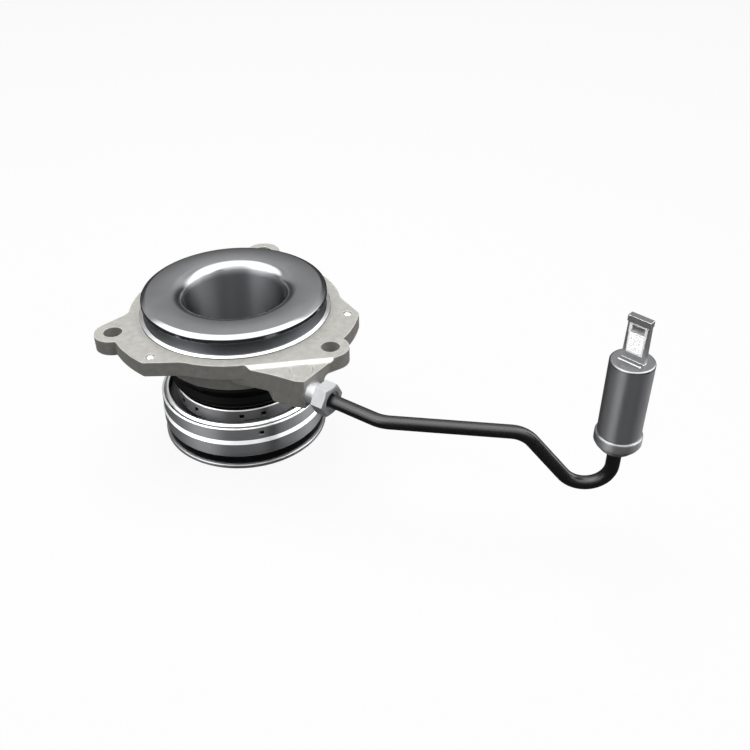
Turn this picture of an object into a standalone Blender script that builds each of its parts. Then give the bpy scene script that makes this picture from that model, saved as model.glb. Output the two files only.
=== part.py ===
"""Clutch actuator: a concentric slave cylinder with its release bearing, pressure pipe and capped line connector.

The cylinder stands as it lies on a bench, bearing down, on the thrust ring's flat face.
Lengths in the named values are millimetres, angles are degrees, and heights count from the thrust face.
X and Y in the named values count from the cylinder's axis, and the pipe runs along +X.
The finished part is set with the middle of its bounding box over the origin.

Run it with: blender --background --python part.py
"""
import math

import bmesh
import bpy
from mathutils import Matrix, Vector

MM = 0.001
CLEAR = 0.3            # gap between pieces that seat on or in each other
OVERLAP = 1.0          # how far joined shapes reach into each other, and cutters past a face

# Facets of a full turn
BIG_STEPS = 36
HIDDEN_STEPS = 28
SMALL_STEPS = 16
ARC_ANGLE = 45.0       # widest turn of one facet in a fillet
SHARP_ANGLE = 35.0     # edges turned further than this are shaded sharp

# Release bearing, from the thrust face up
SEAL_WIDTH = 1.6         # the lip seal, between the cover's foot and the thrust ring's shoulder
THRUST_SHOULDER = 1.0    # from the raceway's inner wall in to the thrust ring's bore
THRUST_RIM = 2.1
THRUST_EDGE = 0.5
LOWER_RACE_RISE = 4.1
RACE_LAND = 0.2          # raceway wall beyond the ball, each side
BALL_R = 3.5
UPPER_RACE_IN = 4.0      # from the upper race's bore out to the balls' middle
BALL_COUNT = 18
BALL_SEGMENTS = 8
BALL_RINGS = 4
GROOVE_DEPTH = 1.4
CAGE_WALL = 1.6
CAGE_EDGE = 0.9
UPPER_RACE = 5.4
RACE_STANDOFF = 4.4      # from the guide sleeve out to the upper race
UPPER_RACE_BEVEL = 2.4
WAVE_HEIGHT = 2.2
WAVE_SHEET = 0.6
WAVE_COUNT = 3
WAVE_INSET = 0.3
WAVE_WIDTH = 5.8
COVER_RISE = 5.0       # cover's foot above the thrust ring's rim
COVER_WALL = 1.1
COVER_EDGE = 0.3
COVER_LIP = 2.1        # rolled lower edge of the cover
COVER_LIP_STEP = 0.4
COVER_OVER = 0.8         # straight band above the start of the upper race's bevel
COVER_BEVEL = 2.1        # height of the bright bevel between the bands
COVER_BEVEL_STEP = 0.3
COVER_UPPER = 6.9        # upper band
COVER_HOLE = 2.2
COVER_HOLES = 3
COVER_HOLE_TURN = -64.6
COVER_HOLE_RISE = 0.48   # share of the upper band's height at which the holes lie

# Carrier between piston and bearing
PLATE_SHEET = 1.2
PLATE_BEAD_WIDTH = 2.1
PLATE_RIM_GAP = 0.4      # from the plate's raised rim to the cover
PLATE_BEAD_RISE = 4.4
PLATE_BEAD_SLOPE = 0.8   # fall of the raised rim's top, outwards
PLATE_BEAD_EDGE = 0.5
RETAINER_SHEET = 0.9
RETAINER_HEIGHT = 8.0
CLIP_COUNT = 6         # lanced clips round the retainer's wall
CLIP_TURN = -68.3      # the middle of one clip
CLIP_SPAN = 18.6
CLIP_HOLE = 1.9
CLIP_HOLE_HEIGHT = 4.5
CLIP_SLOT = 1.1        # height of the slot under each clip
CLIP_SLOT_WIDTH = 7.8
CLIP_SLOT_HEIGHT = 1.9

# Piston, preload spring and boot
TRAVEL = 12.0
PISTON_WALL = 3.0
PISTON_LENGTH = 32.6
PISTON_EDGE = 0.5
PISTON_SEAL = 3.6
SEAL_LIP = 0.3         # width of each seal lip, as a share of the piston's wall
SEAL_LIP_DEPTH = 1.9
CHAMBER_SPARE = 0.6    # chamber left above the seal when the piston is home
SPRING_WIRE_R = 0.9
SPRING_TURNS = 4
SPRING_STEPS = 20      # points in one turn of the wire
SPRING_LEAD = 0.9      # turns over which each end coil climbs one wire
SPRING_GAP = 0.4       # between the spring and the piston
POCKET_DEPTH = 7.8     # spring pocket in the neck
BOOT_WALL = 0.7
BOOT_BEAD = 2.7        # upper bead, seated in the neck
BOOT_BEAD_REACH = 1.9    # how far the bead stands out from the boot's wall
BOOT_FOLDS = 2
BOOT_FOLD_REACH = 3.2
BOOT_CUFF = 1.0        # cuff above the retainer's edge
BOOT_CREASE = 0.4      # how far the valley between folds stands off the cuff

# Guide sleeve
SLEEVE_BORE_R = 23.6
SLEEVE_WALL = 1.3
SLEEVE_TAIL = 2.9      # tube below the retaining ring
MOUTH_FILLET = 5.0
COLLAR_FLAT = 14.4       # from the mouth's flare out to the collar's edge
COLLAR_ROUND = 2.2
COLLAR_EDGE = 0.6
COLLAR_RIM = 3.3       # height of the rim above the step in
COLLAR_STEP = 1.2
COLLAR_RISE = 10.2     # above the flange
SKIRT_LIP = 1.8        # how far the skirt's foot turns out
SKIRT_LIP_WALL = 1.0
SKIRT_LIP_RISE = 0.3   # its top above the flange
SKIRT_FILLET = 0.9
RING_WALL = 1.5
RING_RADIAL = 2.4
RING_GROOVE = 0.5
RING_GAP = 9.0
RING_REACH = 8.0       # length of the cutter that opens the ring's gap

# Cast housing
HUB_ROOF = 4.2         # between the chamber and the hub's top
FLANGE_T = 7.1
FLANGE_RIM = 5.0         # from the recess out to the flange's round edge
NECK_DROP = 15.3
NECK_WALL = 3.9          # round the boot's bead
NECK_TAPER = 1.2
NECK_FILLET = 4.0
NECK_EDGE = 0.8
RECESS_GAP = 1.7         # from the skirt's foot out to the recess's wall
RECESS_DEPTH = 0.9
BOLT_REACH = 7.7         # bolt circle beyond the flange's round edge
BOLT_HOLE_R = 4.3
BOLT_TURN = -30.0      # where the first of three holes lies
EAR_R = 8.5
EAR_FOOT = 16.0        # turn from an ear's hole back to the flange's round edge
EAR_FILLET = 5.0
EAR_WEB_LEAD = 1.0     # from where the first ear's edge meets the port face to that face's end
LOBE_RISE = 1.1          # lobes beyond the bolt circle
LOBE_START = 13.5
LOBE_END = 31.0
LOBE_FOOT = 46.5
LOBE_FILLET = 2.0
FOOT_FILLET = 8.0
EAR_POINTS = 8         # facets round an ear, over a lobe and along the round edge
LOBE_POINTS = 3
EDGE_POINTS = 6
EDGE_LEAD = 5.0        # turn left for the fillets at both ends of the round edge
PIN_INSET = 5.6          # locating pins inside the lobes' edge
PIN_TURN = 30.0        # from a bolt hole to its locating pin
PIN_R = 1.5
PIN_LENGTH = 5.6
PIN_DOME = 0.2         # height of its domed end
PIN_EDGE = 0.9
PIN_RECESS_R = 2.3
PIN_RECESS = 1.0
O_RING_INSET = 3.8       # static seal's groove in the hub's top, out from the mouth's flare
O_RING_WIRE_R = 1.1
O_RING_SQUEEZE = 0.85

# Inlet block and pipe union
PORT_TURN = -28.0      # the way the port looks
PORT_INSET_X = 5.0       # the port, against the flange's round edge
PORT_INSET_Y = 0.1
PORT_ROOF = 2.9          # wall above the port's thread
BLOCK_DROP = 2.0       # block's top below the flange's top
BLOCK_FLOOR = 0.3        # wall below the port's thread
BLOCK_NOSE = 3.9       # short face between the block's side and the port face
BLOCK_CORNER = 4.9     # from the port's axis to the nose, along the port face
BLOCK_FACE = 17.4      # length of the port face
BLOCK_DEEP = 13.7      # part of that length with the block's full depth
SHOULDER_FILLET = 2.2  # where the deep part meets the flange's underside
BLOCK_EDGE = 0.8
BLOCK_SIDE_BACK = 17.1   # where the block's side leaves the web, against the port
BLOCK_SIDE_DROP = 0.8
WEB_BACK = 19.2          # the web's far end, against the block's side
WEB_RISE = 4.5
WEB_HEIGHT = 10.9
ROOT_DEPTH = 2.5         # how far in the block is rooted in the neck
ROOT_LEAD = 12.0       # turn from the port face's far end to the block's root
WEB_LEAD = 8.0         # turn from the block's side to the web's root
STEP_LINE_TURN = 14.5  # line along which the flange steps down to the block
STEP_LINE_INSET = 1.5    # the line's distance in from the flange's round edge
STEP_LINE_SLOPE = 1.5
STEP_CUT_LENGTH = 40.0 # size of the cutter that steps the flange down
STEP_CUT_WIDTH = 80.0
PLUG_BACK = 5.2          # the plug, against the port
PLUG_RISE = 4.2
PLUG_R = 5.3
PLUG_GAP = 0.25
PLUG_SINK = 0.3          # the plug reaches this far past the wall above the thread
DRILL_R = 2.3
OIL_WAY_R = 1.5
NUT_WALL = 2.05          # the nut's shank round the pipe
PORT_DEPTH = 11.0
NUT_SHANK = 5.4        # bare shank between block and hexagon
NUT_HEX = 5.3
NUT_SHOULDER = 1.5       # from the shank out to the hexagon's flats
NUT_HEX_TURN = -1.8
NUT_BEVEL = 1.1
NUT_FACE_IN = 1.5        # from the flats in to the flat ring left on the hexagon's end
OLIVE_LENGTH = 3.2
OLIVE_GAP = 0.6          # between the olive and the port's thread
OLIVE_TAPER = 0.9

# Pressure pipe
PIPE_R = 2.95
PIPE_PLANE_OUT = 17.1    # the upright plane of the pipe's long run, out from the port
PIPE_RUN_LENGTH = 91.1          # from the port to where the run turns down
PIPE_DIVE_TURN = 49.0
RUN_BEND_R = 15.0
DIVE_BEND_R = 12.0
HOOK_BEND_R = 11.0
PIPE_SIDES = 8
RUN_BEND_STEP = 7.0    # turn between two rings of facets in a bend
HOOK_BEND_STEP = 10.0

# Line connector and its cap
PIPE_DIVE_LENGTH = 37.0         # from there to the connector's axis
CONNECTOR_RISE = 0.3   # collar's underside, against the port axis
COLLAR_RING_STEP = 0.8   # collar beyond the cap's wall
COLLAR_RING = 4.7
COLLAR_RING_EDGE = 0.6
BOSS_WALL = 3.05
BOSS_DROP = 2.5
STEM_LAND_STEP = 1.6
STEM_LAND = 5.0
STEM_R = 5.4
STEM_NOSE = 2.5          # stem above the latch groove
STEM_BORE_R = 2.0
STEM_BEVEL = 1.0
STEM_GROOVE_DEPTH = 1.2
STEM_NECK = 8.6          # from the land to the seal's middle
STEM_SEAL_R = 0.95
STEM_LATCH_GAP = 5.0     # from the seal's middle to the latch groove
STEM_LATCH = 2.0
SOCKET_DEPTH = 4.0
CAP_WALL = 1.5
CAP_ROOM = 8.2           # inside, above the stem
CAP_ROUND = 0.9
CAP_ROOF = 2.8
TAB_TURN = -37.5       # the way the pull tab's width runs
TAB_FOOT = 9.9
TAB_TOP = 9.2
TAB_SPARE = 1.1          # tab above the grip
TAB_WALL = 2.0
TAB_FORWARD = 0.4      # front face of the tab ahead of the cap's axis
BAR_SIDE = 0.2           # bar beyond the tab, each side
BAR_HEIGHT = 2.5
BAR_OVERHANG = 0.7
PAD_RIM_TOP = 0.9        # tab beside the grip's top, each side
PAD_RIM_FOOT = 1.75      # tab beside the grip's foot, each side
PAD_HEIGHT = 12.4
PAD_START = 3.1        # its foot above the cap's end face
PAD_WINDOW_SIDE = 0.45   # grip's foot beyond the opening in its upper end, each side
PAD_WINDOW_HEIGHT = 2.8
PAD_WINDOW_RIM = 0.7     # grip above the opening
PAD_SHEET = 0.6
PAD_GAP = 0.2

# Radii that follow from the fits, from the sleeve outwards
SLEEVE_R = SLEEVE_BORE_R + SLEEVE_WALL
PISTON_IN_R = SLEEVE_R + CLEAR
PISTON_R = PISTON_IN_R + PISTON_WALL
CYLINDER_R = PISTON_R + CLEAR
SPRING_R = PISTON_R + SPRING_GAP + SPRING_WIRE_R
SPRING_OUT_R = SPRING_R + SPRING_WIRE_R
BOOT_IN_R = SPRING_OUT_R + CLEAR
BOOT_R = BOOT_IN_R + BOOT_WALL
BOOT_BEAD_R = BOOT_R + BOOT_BEAD_REACH
BOOT_FOLD_R = BOOT_R + BOOT_FOLD_REACH
RETAINER_IN_R = BOOT_R + CLEAR
RETAINER_R = RETAINER_IN_R + RETAINER_SHEET
POCKET_R = SPRING_OUT_R + CLEAR
MOUTH_R = SLEEVE_BORE_R + MOUTH_FILLET
O_RING_R = MOUTH_R + O_RING_INSET
COLLAR_R = MOUTH_R + COLLAR_FLAT
COLLAR_WALL_R = COLLAR_R - COLLAR_STEP
HUB_R = COLLAR_WALL_R - SLEEVE_WALL - CLEAR
RECESS_R = COLLAR_WALL_R + SKIRT_LIP + RECESS_GAP
FLANGE_R = RECESS_R + FLANGE_RIM
BOLT_CIRCLE_R = FLANGE_R + BOLT_REACH
LOBE_R = BOLT_CIRCLE_R + LOBE_RISE
PIN_CIRCLE_R = LOBE_R - PIN_INSET
NECK_R = BOOT_BEAD_R + CLEAR + NECK_WALL
ROOT_R = NECK_R - ROOT_DEPTH
PORT_X = FLANGE_R - PORT_INSET_X
PORT_Y = PORT_INSET_Y - FLANGE_R
BLOCK_SIDE_X = PORT_X - BLOCK_SIDE_BACK
BLOCK_SIDE_Y = PORT_Y - BLOCK_SIDE_DROP
WEB_X = BLOCK_SIDE_X - WEB_BACK
WEB_Y = BLOCK_SIDE_Y + WEB_RISE
PLUG_X = PORT_X - PLUG_BACK
PLUG_Y = PORT_Y + PLUG_RISE
STEP_LINE_OUT = FLANGE_R - STEP_LINE_INSET
PIPE_PLANE_Y = PORT_Y - PIPE_PLANE_OUT
PIPE_DIVE_X = PORT_X + PIPE_RUN_LENGTH
CONNECTOR_X = PIPE_DIVE_X + PIPE_DIVE_LENGTH
PORT_THREAD_R = PIPE_R + NUT_WALL
PORT_DROP = BLOCK_DROP + PORT_ROOF + CLEAR + PORT_THREAD_R
PLUG_DEPTH = PORT_ROOF + PLUG_SINK
BLOCK_HEIGHT = PORT_DROP - BLOCK_DROP + PORT_THREAD_R + CLEAR + BLOCK_FLOOR
NUT_FLATS = 2 * (PORT_THREAD_R + NUT_SHOULDER)
NUT_FACE_R = NUT_FLATS / 2 - NUT_FACE_IN
OLIVE_R = PORT_THREAD_R - OLIVE_GAP
STEM_LAND_R = STEM_R + STEM_LAND_STEP
CAP_BORE_R = STEM_LAND_R + CLEAR
CAP_R = CAP_BORE_R + CAP_WALL
COLLAR_RING_R = CAP_R + COLLAR_RING_STEP
BOSS_TOP_R = COLLAR_RING_R - COLLAR_RING_EDGE
BOSS_FOOT_R = PIPE_R + BOSS_WALL
RING_IN_R = SLEEVE_R - RING_GROOVE + CLEAR / 2
UPPER_RACE_BORE_R = SLEEVE_R + RACE_STANDOFF
BALL_PITCH_R = UPPER_RACE_BORE_R + UPPER_RACE_IN
RACE_HALF_WIDTH = BALL_R + RACE_LAND
THRUST_BORE_R = BALL_PITCH_R - RACE_HALF_WIDTH - THRUST_SHOULDER
COVER_FOOT_R = BALL_PITCH_R + RACE_HALF_WIDTH + CLEAR + SEAL_WIDTH + CLEAR + COVER_WALL
THRUST_R = COVER_FOOT_R + COVER_LIP_STEP
COVER_RIM_R = THRUST_R - COVER_BEVEL_STEP
PLATE_BEAD_OUT_R = COVER_RIM_R - COVER_WALL - PLATE_RIM_GAP
PLATE_BEAD_IN_R = PLATE_BEAD_OUT_R - PLATE_BEAD_WIDTH
WAVE_IN_R = UPPER_RACE_BORE_R + WAVE_INSET
WAVE_OUT_R = WAVE_IN_R + WAVE_WIDTH

# Heights that follow from the stack, from the thrust face up
LOWER_RACE_Z = THRUST_RIM + LOWER_RACE_RISE
BALL_Z = LOWER_RACE_Z - GROOVE_DEPTH + CLEAR + BALL_R
UPPER_RACE_Z = 2 * BALL_Z - LOWER_RACE_Z
UPPER_RACE_TOP = UPPER_RACE_Z + UPPER_RACE
WAVE_Z = UPPER_RACE_TOP + CLEAR
PLATE_Z = WAVE_Z + WAVE_HEIGHT + CLEAR
PLATE_TOP = PLATE_Z + PLATE_SHEET
RETAINER_Z = PLATE_TOP + CLEAR
RETAINER_TOP = RETAINER_Z + RETAINER_HEIGHT
PISTON_Z = RETAINER_Z + RETAINER_SHEET + CLEAR
PISTON_TOP = PISTON_Z + PISTON_LENGTH
SEAL_Z = PISTON_TOP + CLEAR
SEAL_TOP = SEAL_Z + PISTON_SEAL
CHAMBER_TOP = SEAL_TOP + TRAVEL + CHAMBER_SPARE
HUB_TOP = CHAMBER_TOP + HUB_ROOF
SLEEVE_TOP = HUB_TOP + CLEAR + SLEEVE_WALL
FLANGE_TOP = SLEEVE_TOP - COLLAR_RISE
FLANGE_Z = FLANGE_TOP - FLANGE_T
NECK_Z = FLANGE_Z - NECK_DROP
POCKET_TOP = NECK_Z + POCKET_DEPTH
RING_TOP = PLATE_Z - CLEAR
RING_Z = RING_TOP - RING_WALL
SLEEVE_Z = RING_Z - SLEEVE_TAIL
PORT_Z = FLANGE_TOP - PORT_DROP
BLOCK_TOP = FLANGE_TOP - BLOCK_DROP
BLOCK_Z = BLOCK_TOP - BLOCK_HEIGHT
COVER_Z = THRUST_RIM + COVER_RISE
STEM_SEAL_HEIGHT = STEM_LAND + STEM_NECK
STEM_LATCH_HEIGHT = STEM_SEAL_HEIGHT + STEM_LATCH_GAP
STEM_LENGTH = STEM_LATCH_HEIGHT + STEM_LATCH + STEM_NOSE
CAP_HEIGHT = STEM_LENGTH + CAP_ROOM + CAP_ROOF
TAB_HEIGHT = PAD_START + PAD_HEIGHT + TAB_SPARE
BAR_WIDTH = TAB_TOP + 2 * BAR_SIDE
PAD_TOP = TAB_TOP - 2 * PAD_RIM_TOP
PAD_FOOT = TAB_FOOT - 2 * PAD_RIM_FOOT
PAD_WINDOW = PAD_FOOT - 2 * PAD_WINDOW_SIDE
PAD_WINDOW_START = PAD_HEIGHT - PAD_WINDOW_RIM - PAD_WINDOW_HEIGHT
CONNECTOR_Z = PORT_Z - CONNECTOR_RISE
CONNECTOR_TOP = CONNECTOR_Z + COLLAR_RING
CAP_Z = CONNECTOR_TOP + CLEAR
CAP_TOP = CAP_Z + CAP_HEIGHT

# The box round the finished part, seen from above, about the cylinder's axis
EAR_REACH_X = BOLT_CIRCLE_R * math.cos(math.radians(30.0)) + EAR_R
BOX_X = (-EAR_REACH_X, CONNECTOR_X + COLLAR_RING_R)
BOX_Y = (PIPE_PLANE_Y - COLLAR_RING_R, BOLT_CIRCLE_R + EAR_R)
AXIS_X = -(BOX_X[0] + BOX_X[1]) / 2
AXIS_Y = -(BOX_Y[0] + BOX_Y[1]) / 2


def polar(radius, turn, height=0.0):
    """A point from the cylinder's axis, in millimetres."""
    angle = math.radians(turn)
    return Vector((radius * math.cos(angle), radius * math.sin(angle), height))


def clear_scene():
    for item in list(bpy.data.objects):
        bpy.data.objects.remove(item, do_unlink=True)


def new_collection(name):
    group = bpy.data.collections.new(name)
    bpy.context.scene.collection.children.link(group)
    return group


def finish(name, color, roughness, metallic):
    """A plain Principled material."""
    material = bpy.data.materials.new(name)
    material.use_nodes = True
    shader = material.node_tree.nodes["Principled BSDF"]
    shader.inputs["Base Color"].default_value = (*color, 1.0)
    shader.inputs["Roughness"].default_value = roughness
    shader.inputs["Metallic"].default_value = metallic
    material.diffuse_color = (*color, 1.0)
    return material


def fillet(before, corner, after, radius):
    """Points of an arc that rounds one corner of an outline, kept within the two sides that meet there."""
    to_before = before - corner
    to_after = after - corner
    half = to_before.angle(to_after) / 2
    reach = min(radius / math.tan(half), 0.49 * to_before.length, 0.49 * to_after.length)
    radius = reach * math.tan(half)
    centre = corner + (to_before.normalized() + to_after.normalized()).normalized() * radius / math.sin(half)
    first = corner + to_before.normalized() * reach - centre
    last = corner + to_after.normalized() * reach - centre
    steps = max(1, math.ceil(math.degrees(math.pi - 2 * half) / ARC_ANGLE))
    return [centre + first.normalized().slerp(last.normalized(), k / steps) * radius for k in range(steps + 1)]


def rounded(corners):
    """An outline from corners (u, v) or (u, v, radius); those with a radius are rounded."""
    spots = [Vector((corner[0], corner[1])) for corner in corners]
    points = []
    for index, corner in enumerate(corners):
        if len(corner) == 3:
            after = spots[(index + 1) % len(spots)]
            points += fillet(spots[index - 1], spots[index], after, corner[2])
        else:
            points.append(spots[index])
    return points


def clockwise(points):
    """The same closed outline, turned so that its outer side runs down."""
    area = sum(a.x * b.y - b.x * a.y for a, b in zip(points, points[1:] + points[:1]))
    return points if area < 0 else points[::-1]


def place(name, mesh, material, group, parent):
    item = bpy.data.objects.new(name, mesh)
    group.objects.link(item)
    item.data.materials.clear()
    if material:
        item.data.materials.append(material)
    item.parent = parent
    return item


def applied(item):
    """Turns what the viewport shows of an object into its own mesh, shaded smooth but for its sharp edges."""
    bpy.context.view_layer.update()
    graph = bpy.context.evaluated_depsgraph_get()
    mesh = bpy.data.meshes.new_from_object(item.evaluated_get(graph), depsgraph=graph)
    item.modifiers.clear()
    item.data = mesh
    mesh.shade_smooth()
    mesh.set_sharp_from_angle(angle=math.radians(SHARP_ANGLE))
    return item


def turned(name, corners, steps, material, group, parent=None):
    """A ring turned about Z from a closed profile of (radius, height) corners in millimetres."""
    points = clockwise(rounded(corners))
    mesh = bpy.data.meshes.new(name)
    verts = [(point.x * MM, 0.0, point.y * MM) for point in points]
    edges = [(k, (k + 1) % len(verts)) for k in range(len(verts))]
    mesh.from_pydata(verts, edges, [])
    item = place(name, mesh, material, group, parent)
    screw = item.modifiers.new("turn", "SCREW")
    screw.steps = steps
    screw.render_steps = steps
    screw.use_merge_vertices = True
    screw.merge_threshold = 0.00001
    return applied(item)


def spindle(name, corners, steps, material, group, parent=None):
    """A solid turned about Z from an open profile that starts and ends on the axis."""
    points = rounded([(-1.0, corners[0][1])] + list(corners) + [(-1.0, corners[-1][1])])[1:-1]
    mesh = bpy.data.meshes.new(name)
    verts = [(point.x * MM, 0.0, point.y * MM) for point in points]
    mesh.from_pydata(verts, [(k, k + 1) for k in range(len(verts) - 1)], [])
    item = place(name, mesh, material, group, parent)
    screw = item.modifiers.new("turn", "SCREW")
    screw.steps = steps
    screw.render_steps = steps
    screw.use_merge_vertices = True
    screw.merge_threshold = 0.00001
    return applied(item)


def extruded(name, outlines, low, high, material, group, parent=None):
    """A plate from closed XY outlines in millimetres; an outline inside another is a hole."""
    curve = bpy.data.curves.new(name, "CURVE")
    curve.dimensions = "2D"
    curve.fill_mode = "BOTH"
    curve.extrude = (high - low) / 2 * MM
    for outline in outlines:
        spline = curve.splines.new("POLY")
        spline.points.add(len(outline) - 1)
        for spot, point in zip(spline.points, outline):
            spot.co = (point[0] * MM, point[1] * MM, 0.0, 1.0)
        spline.use_cyclic_u = True
    item = place(name, curve, material, group, parent)
    return meshed(item, Matrix.Translation((0.0, 0.0, (low + high) / 2 * MM)))


def meshed(item, move=Matrix.Identity(4)):
    """Replaces a curve object by a mesh object of the same name, with its caps welded."""
    bpy.context.view_layer.update()
    graph = bpy.context.evaluated_depsgraph_get()
    mesh = bpy.data.meshes.new_from_object(item.evaluated_get(graph), depsgraph=graph)
    work = bmesh.new()
    work.from_mesh(mesh)
    bmesh.ops.remove_doubles(work, verts=work.verts, dist=0.000001)
    bmesh.ops.recalc_face_normals(work, faces=work.faces)
    work.to_mesh(mesh)
    work.free()
    mesh.transform(move)
    mesh.shade_smooth()
    mesh.set_sharp_from_angle(angle=math.radians(SHARP_ANGLE))
    name, material, group, parent = item.name, item.active_material, item.users_collection[0], item.parent
    bpy.data.objects.remove(item, do_unlink=True)
    return place(name, mesh, material, group, parent)


def wire(name, points, radius, sides, material, group, parent=None, closed=False):
    """A round wire along points in millimetres."""
    curve = bpy.data.curves.new(name, "CURVE")
    curve.dimensions = "3D"
    curve.bevel_depth = radius * MM
    curve.bevel_resolution = sides // 2 - 2
    curve.use_fill_caps = not closed
    spline = curve.splines.new("POLY")
    spline.points.add(len(points) - 1)
    for spot, point in zip(spline.points, points):
        spot.co = (point[0] * MM, point[1] * MM, point[2] * MM, 1.0)
    spline.use_cyclic_u = closed
    item = place(name, curve, material, group, parent)
    return meshed(item)


def shading_group():
    """Node group that shades an edge sharp where its faces turn by more than the angle set here."""
    name = "sharp_by_angle"
    group = bpy.data.node_groups.get(name)
    if group:
        return group
    group = bpy.data.node_groups.new(name, "GeometryNodeTree")
    group.is_modifier = True
    group.interface.new_socket("Geometry", in_out="INPUT", socket_type="NodeSocketGeometry")
    group.interface.new_socket("Geometry", in_out="OUTPUT", socket_type="NodeSocketGeometry")
    nodes, links = group.nodes, group.links
    start = nodes.new("NodeGroupInput")
    end = nodes.new("NodeGroupOutput")
    turn = nodes.new("GeometryNodeInputMeshEdgeAngle")
    flat = nodes.new("FunctionNodeCompare")
    flat.data_type = "FLOAT"
    flat.operation = "LESS_THAN"
    flat.inputs[1].default_value = math.radians(SHARP_ANGLE)
    faces = nodes.new("GeometryNodeSetShadeSmooth")
    edges = nodes.new("GeometryNodeSetShadeSmooth")
    edges.domain = "EDGE"
    links.new(start.outputs[0], faces.inputs["Geometry"])
    links.new(faces.outputs[0], edges.inputs["Geometry"])
    links.new(turn.outputs["Unsigned Angle"], flat.inputs[0])
    links.new(flat.outputs[0], edges.inputs["Shade Smooth"])
    links.new(edges.outputs[0], end.inputs[0])
    for k, node in enumerate((start, turn, flat, faces, edges, end)):
        node.location = (200.0 * k, 0.0)
    return group


def shade_by_angle(item):
    item.modifiers.new("sharp by angle", "NODES").node_group = shading_group()


def as_cutter(item):
    item.hide_render = True
    item.display_type = "WIRE"
    return item


def boolean(item, tool, operation):
    step = item.modifiers.new(operation.lower() + " " + tool.name, "BOOLEAN")
    step.operation = operation
    step.solver = "EXACT"
    step.object = as_cutter(tool)


def drill(name, radius, start, end, steps, cutters, parent):
    """A round cutter between two points in millimetres."""
    start = Vector(start)
    run = Vector(end) - start
    mesh = bpy.data.meshes.new(name)
    work = bmesh.new()
    bmesh.ops.create_cone(
        work, cap_ends=True, segments=steps, radius1=radius * MM, radius2=radius * MM, depth=run.length * MM
    )
    work.to_mesh(mesh)
    work.free()
    turn = run.to_track_quat("Z", "Y").to_matrix().to_4x4()
    mesh.transform(Matrix.Translation((start + run / 2) * MM) @ turn)
    return as_cutter(place(name, mesh, None, cutters, parent))


def block(name, size, centre, turn, material, group, parent):
    """A box turned about Z, with its size and centre in millimetres."""
    mesh = bpy.data.meshes.new(name)
    work = bmesh.new()
    bmesh.ops.create_cube(work, size=1.0)
    work.to_mesh(mesh)
    work.free()
    mesh.transform(Matrix.Diagonal((size[0] * MM, size[1] * MM, size[2] * MM, 1.0)))
    mesh.transform(Matrix.Rotation(math.radians(turn), 4, "Z"))
    mesh.transform(Matrix.Translation(Vector(centre) * MM))
    return place(name, mesh, material, group, parent)


# The housing

def ear_sector(turn, web=None):
    """One third of the flange's outline: an ear, its lobe, and the round edge up to the next ear.

    The ear's edge starts at the round edge, or at the point given as web.
    """
    ear = polar(BOLT_CIRCLE_R, turn).xy
    foot = web or polar(FLANGE_R, turn - EAR_FOOT).xy
    away = foot - ear
    lean = math.degrees(math.atan2(away.y, away.x))
    open_angle = math.degrees(math.acos(EAR_R / away.length))
    start = lean + open_angle
    meet = math.degrees(math.acos(
        (BOLT_CIRCLE_R ** 2 + LOBE_R ** 2 - EAR_R ** 2) / (2 * BOLT_CIRCLE_R * LOBE_R)
    ))
    valley = polar(LOBE_R, turn + meet).xy
    toward = valley - ear
    stop = math.degrees(math.atan2(toward.y, toward.x))
    while stop < start:
        stop += 360.0
    arc_count = EAR_POINTS
    corners = [(foot.x, foot.y)] if web else [(foot.x, foot.y, FOOT_FILLET)]
    for k in range(arc_count):
        angle = math.radians(start + (stop - start) * k / arc_count)
        corners.append((ear.x + EAR_R * math.cos(angle), ear.y + EAR_R * math.sin(angle)))
    corners.append((valley.x, valley.y, EAR_FILLET))
    lobe_count = LOBE_POINTS
    for k in range(lobe_count):
        spot = polar(LOBE_R, turn + LOBE_START + (LOBE_END - LOBE_START) * k / lobe_count)
        corners.append((spot.x, spot.y))
    tip = polar(LOBE_R, turn + LOBE_END)
    corners.append((tip.x, tip.y, LOBE_FILLET))
    heel = polar(FLANGE_R, turn + LOBE_FOOT)
    corners.append((heel.x, heel.y, FOOT_FILLET))
    edge_count = EDGE_POINTS
    edge_from = LOBE_FOOT + EDGE_LEAD
    edge_to = 120.0 - EAR_FOOT - EDGE_LEAD
    for k in range(edge_count + 1):
        spot = polar(FLANGE_R, turn + edge_from + (edge_to - edge_from) * k / edge_count)
        corners.append((spot.x, spot.y))
    return corners


def flange_outline():
    """The first ear runs out on the inlet block's port face."""
    port, out, along = port_axes()
    web = port + along * (BLOCK_FACE - BLOCK_CORNER - EAR_WEB_LEAD) - out * CLEAR / 2
    sectors = [ear_sector(BOLT_TURN, web.xy), ear_sector(BOLT_TURN + 120.0), ear_sector(BOLT_TURN + 240.0)]
    return rounded(sum(sectors, []))


def circle(radius, steps, phase=0.0):
    return [polar(radius, phase + 360.0 * k / steps) for k in range(steps)]


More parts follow.
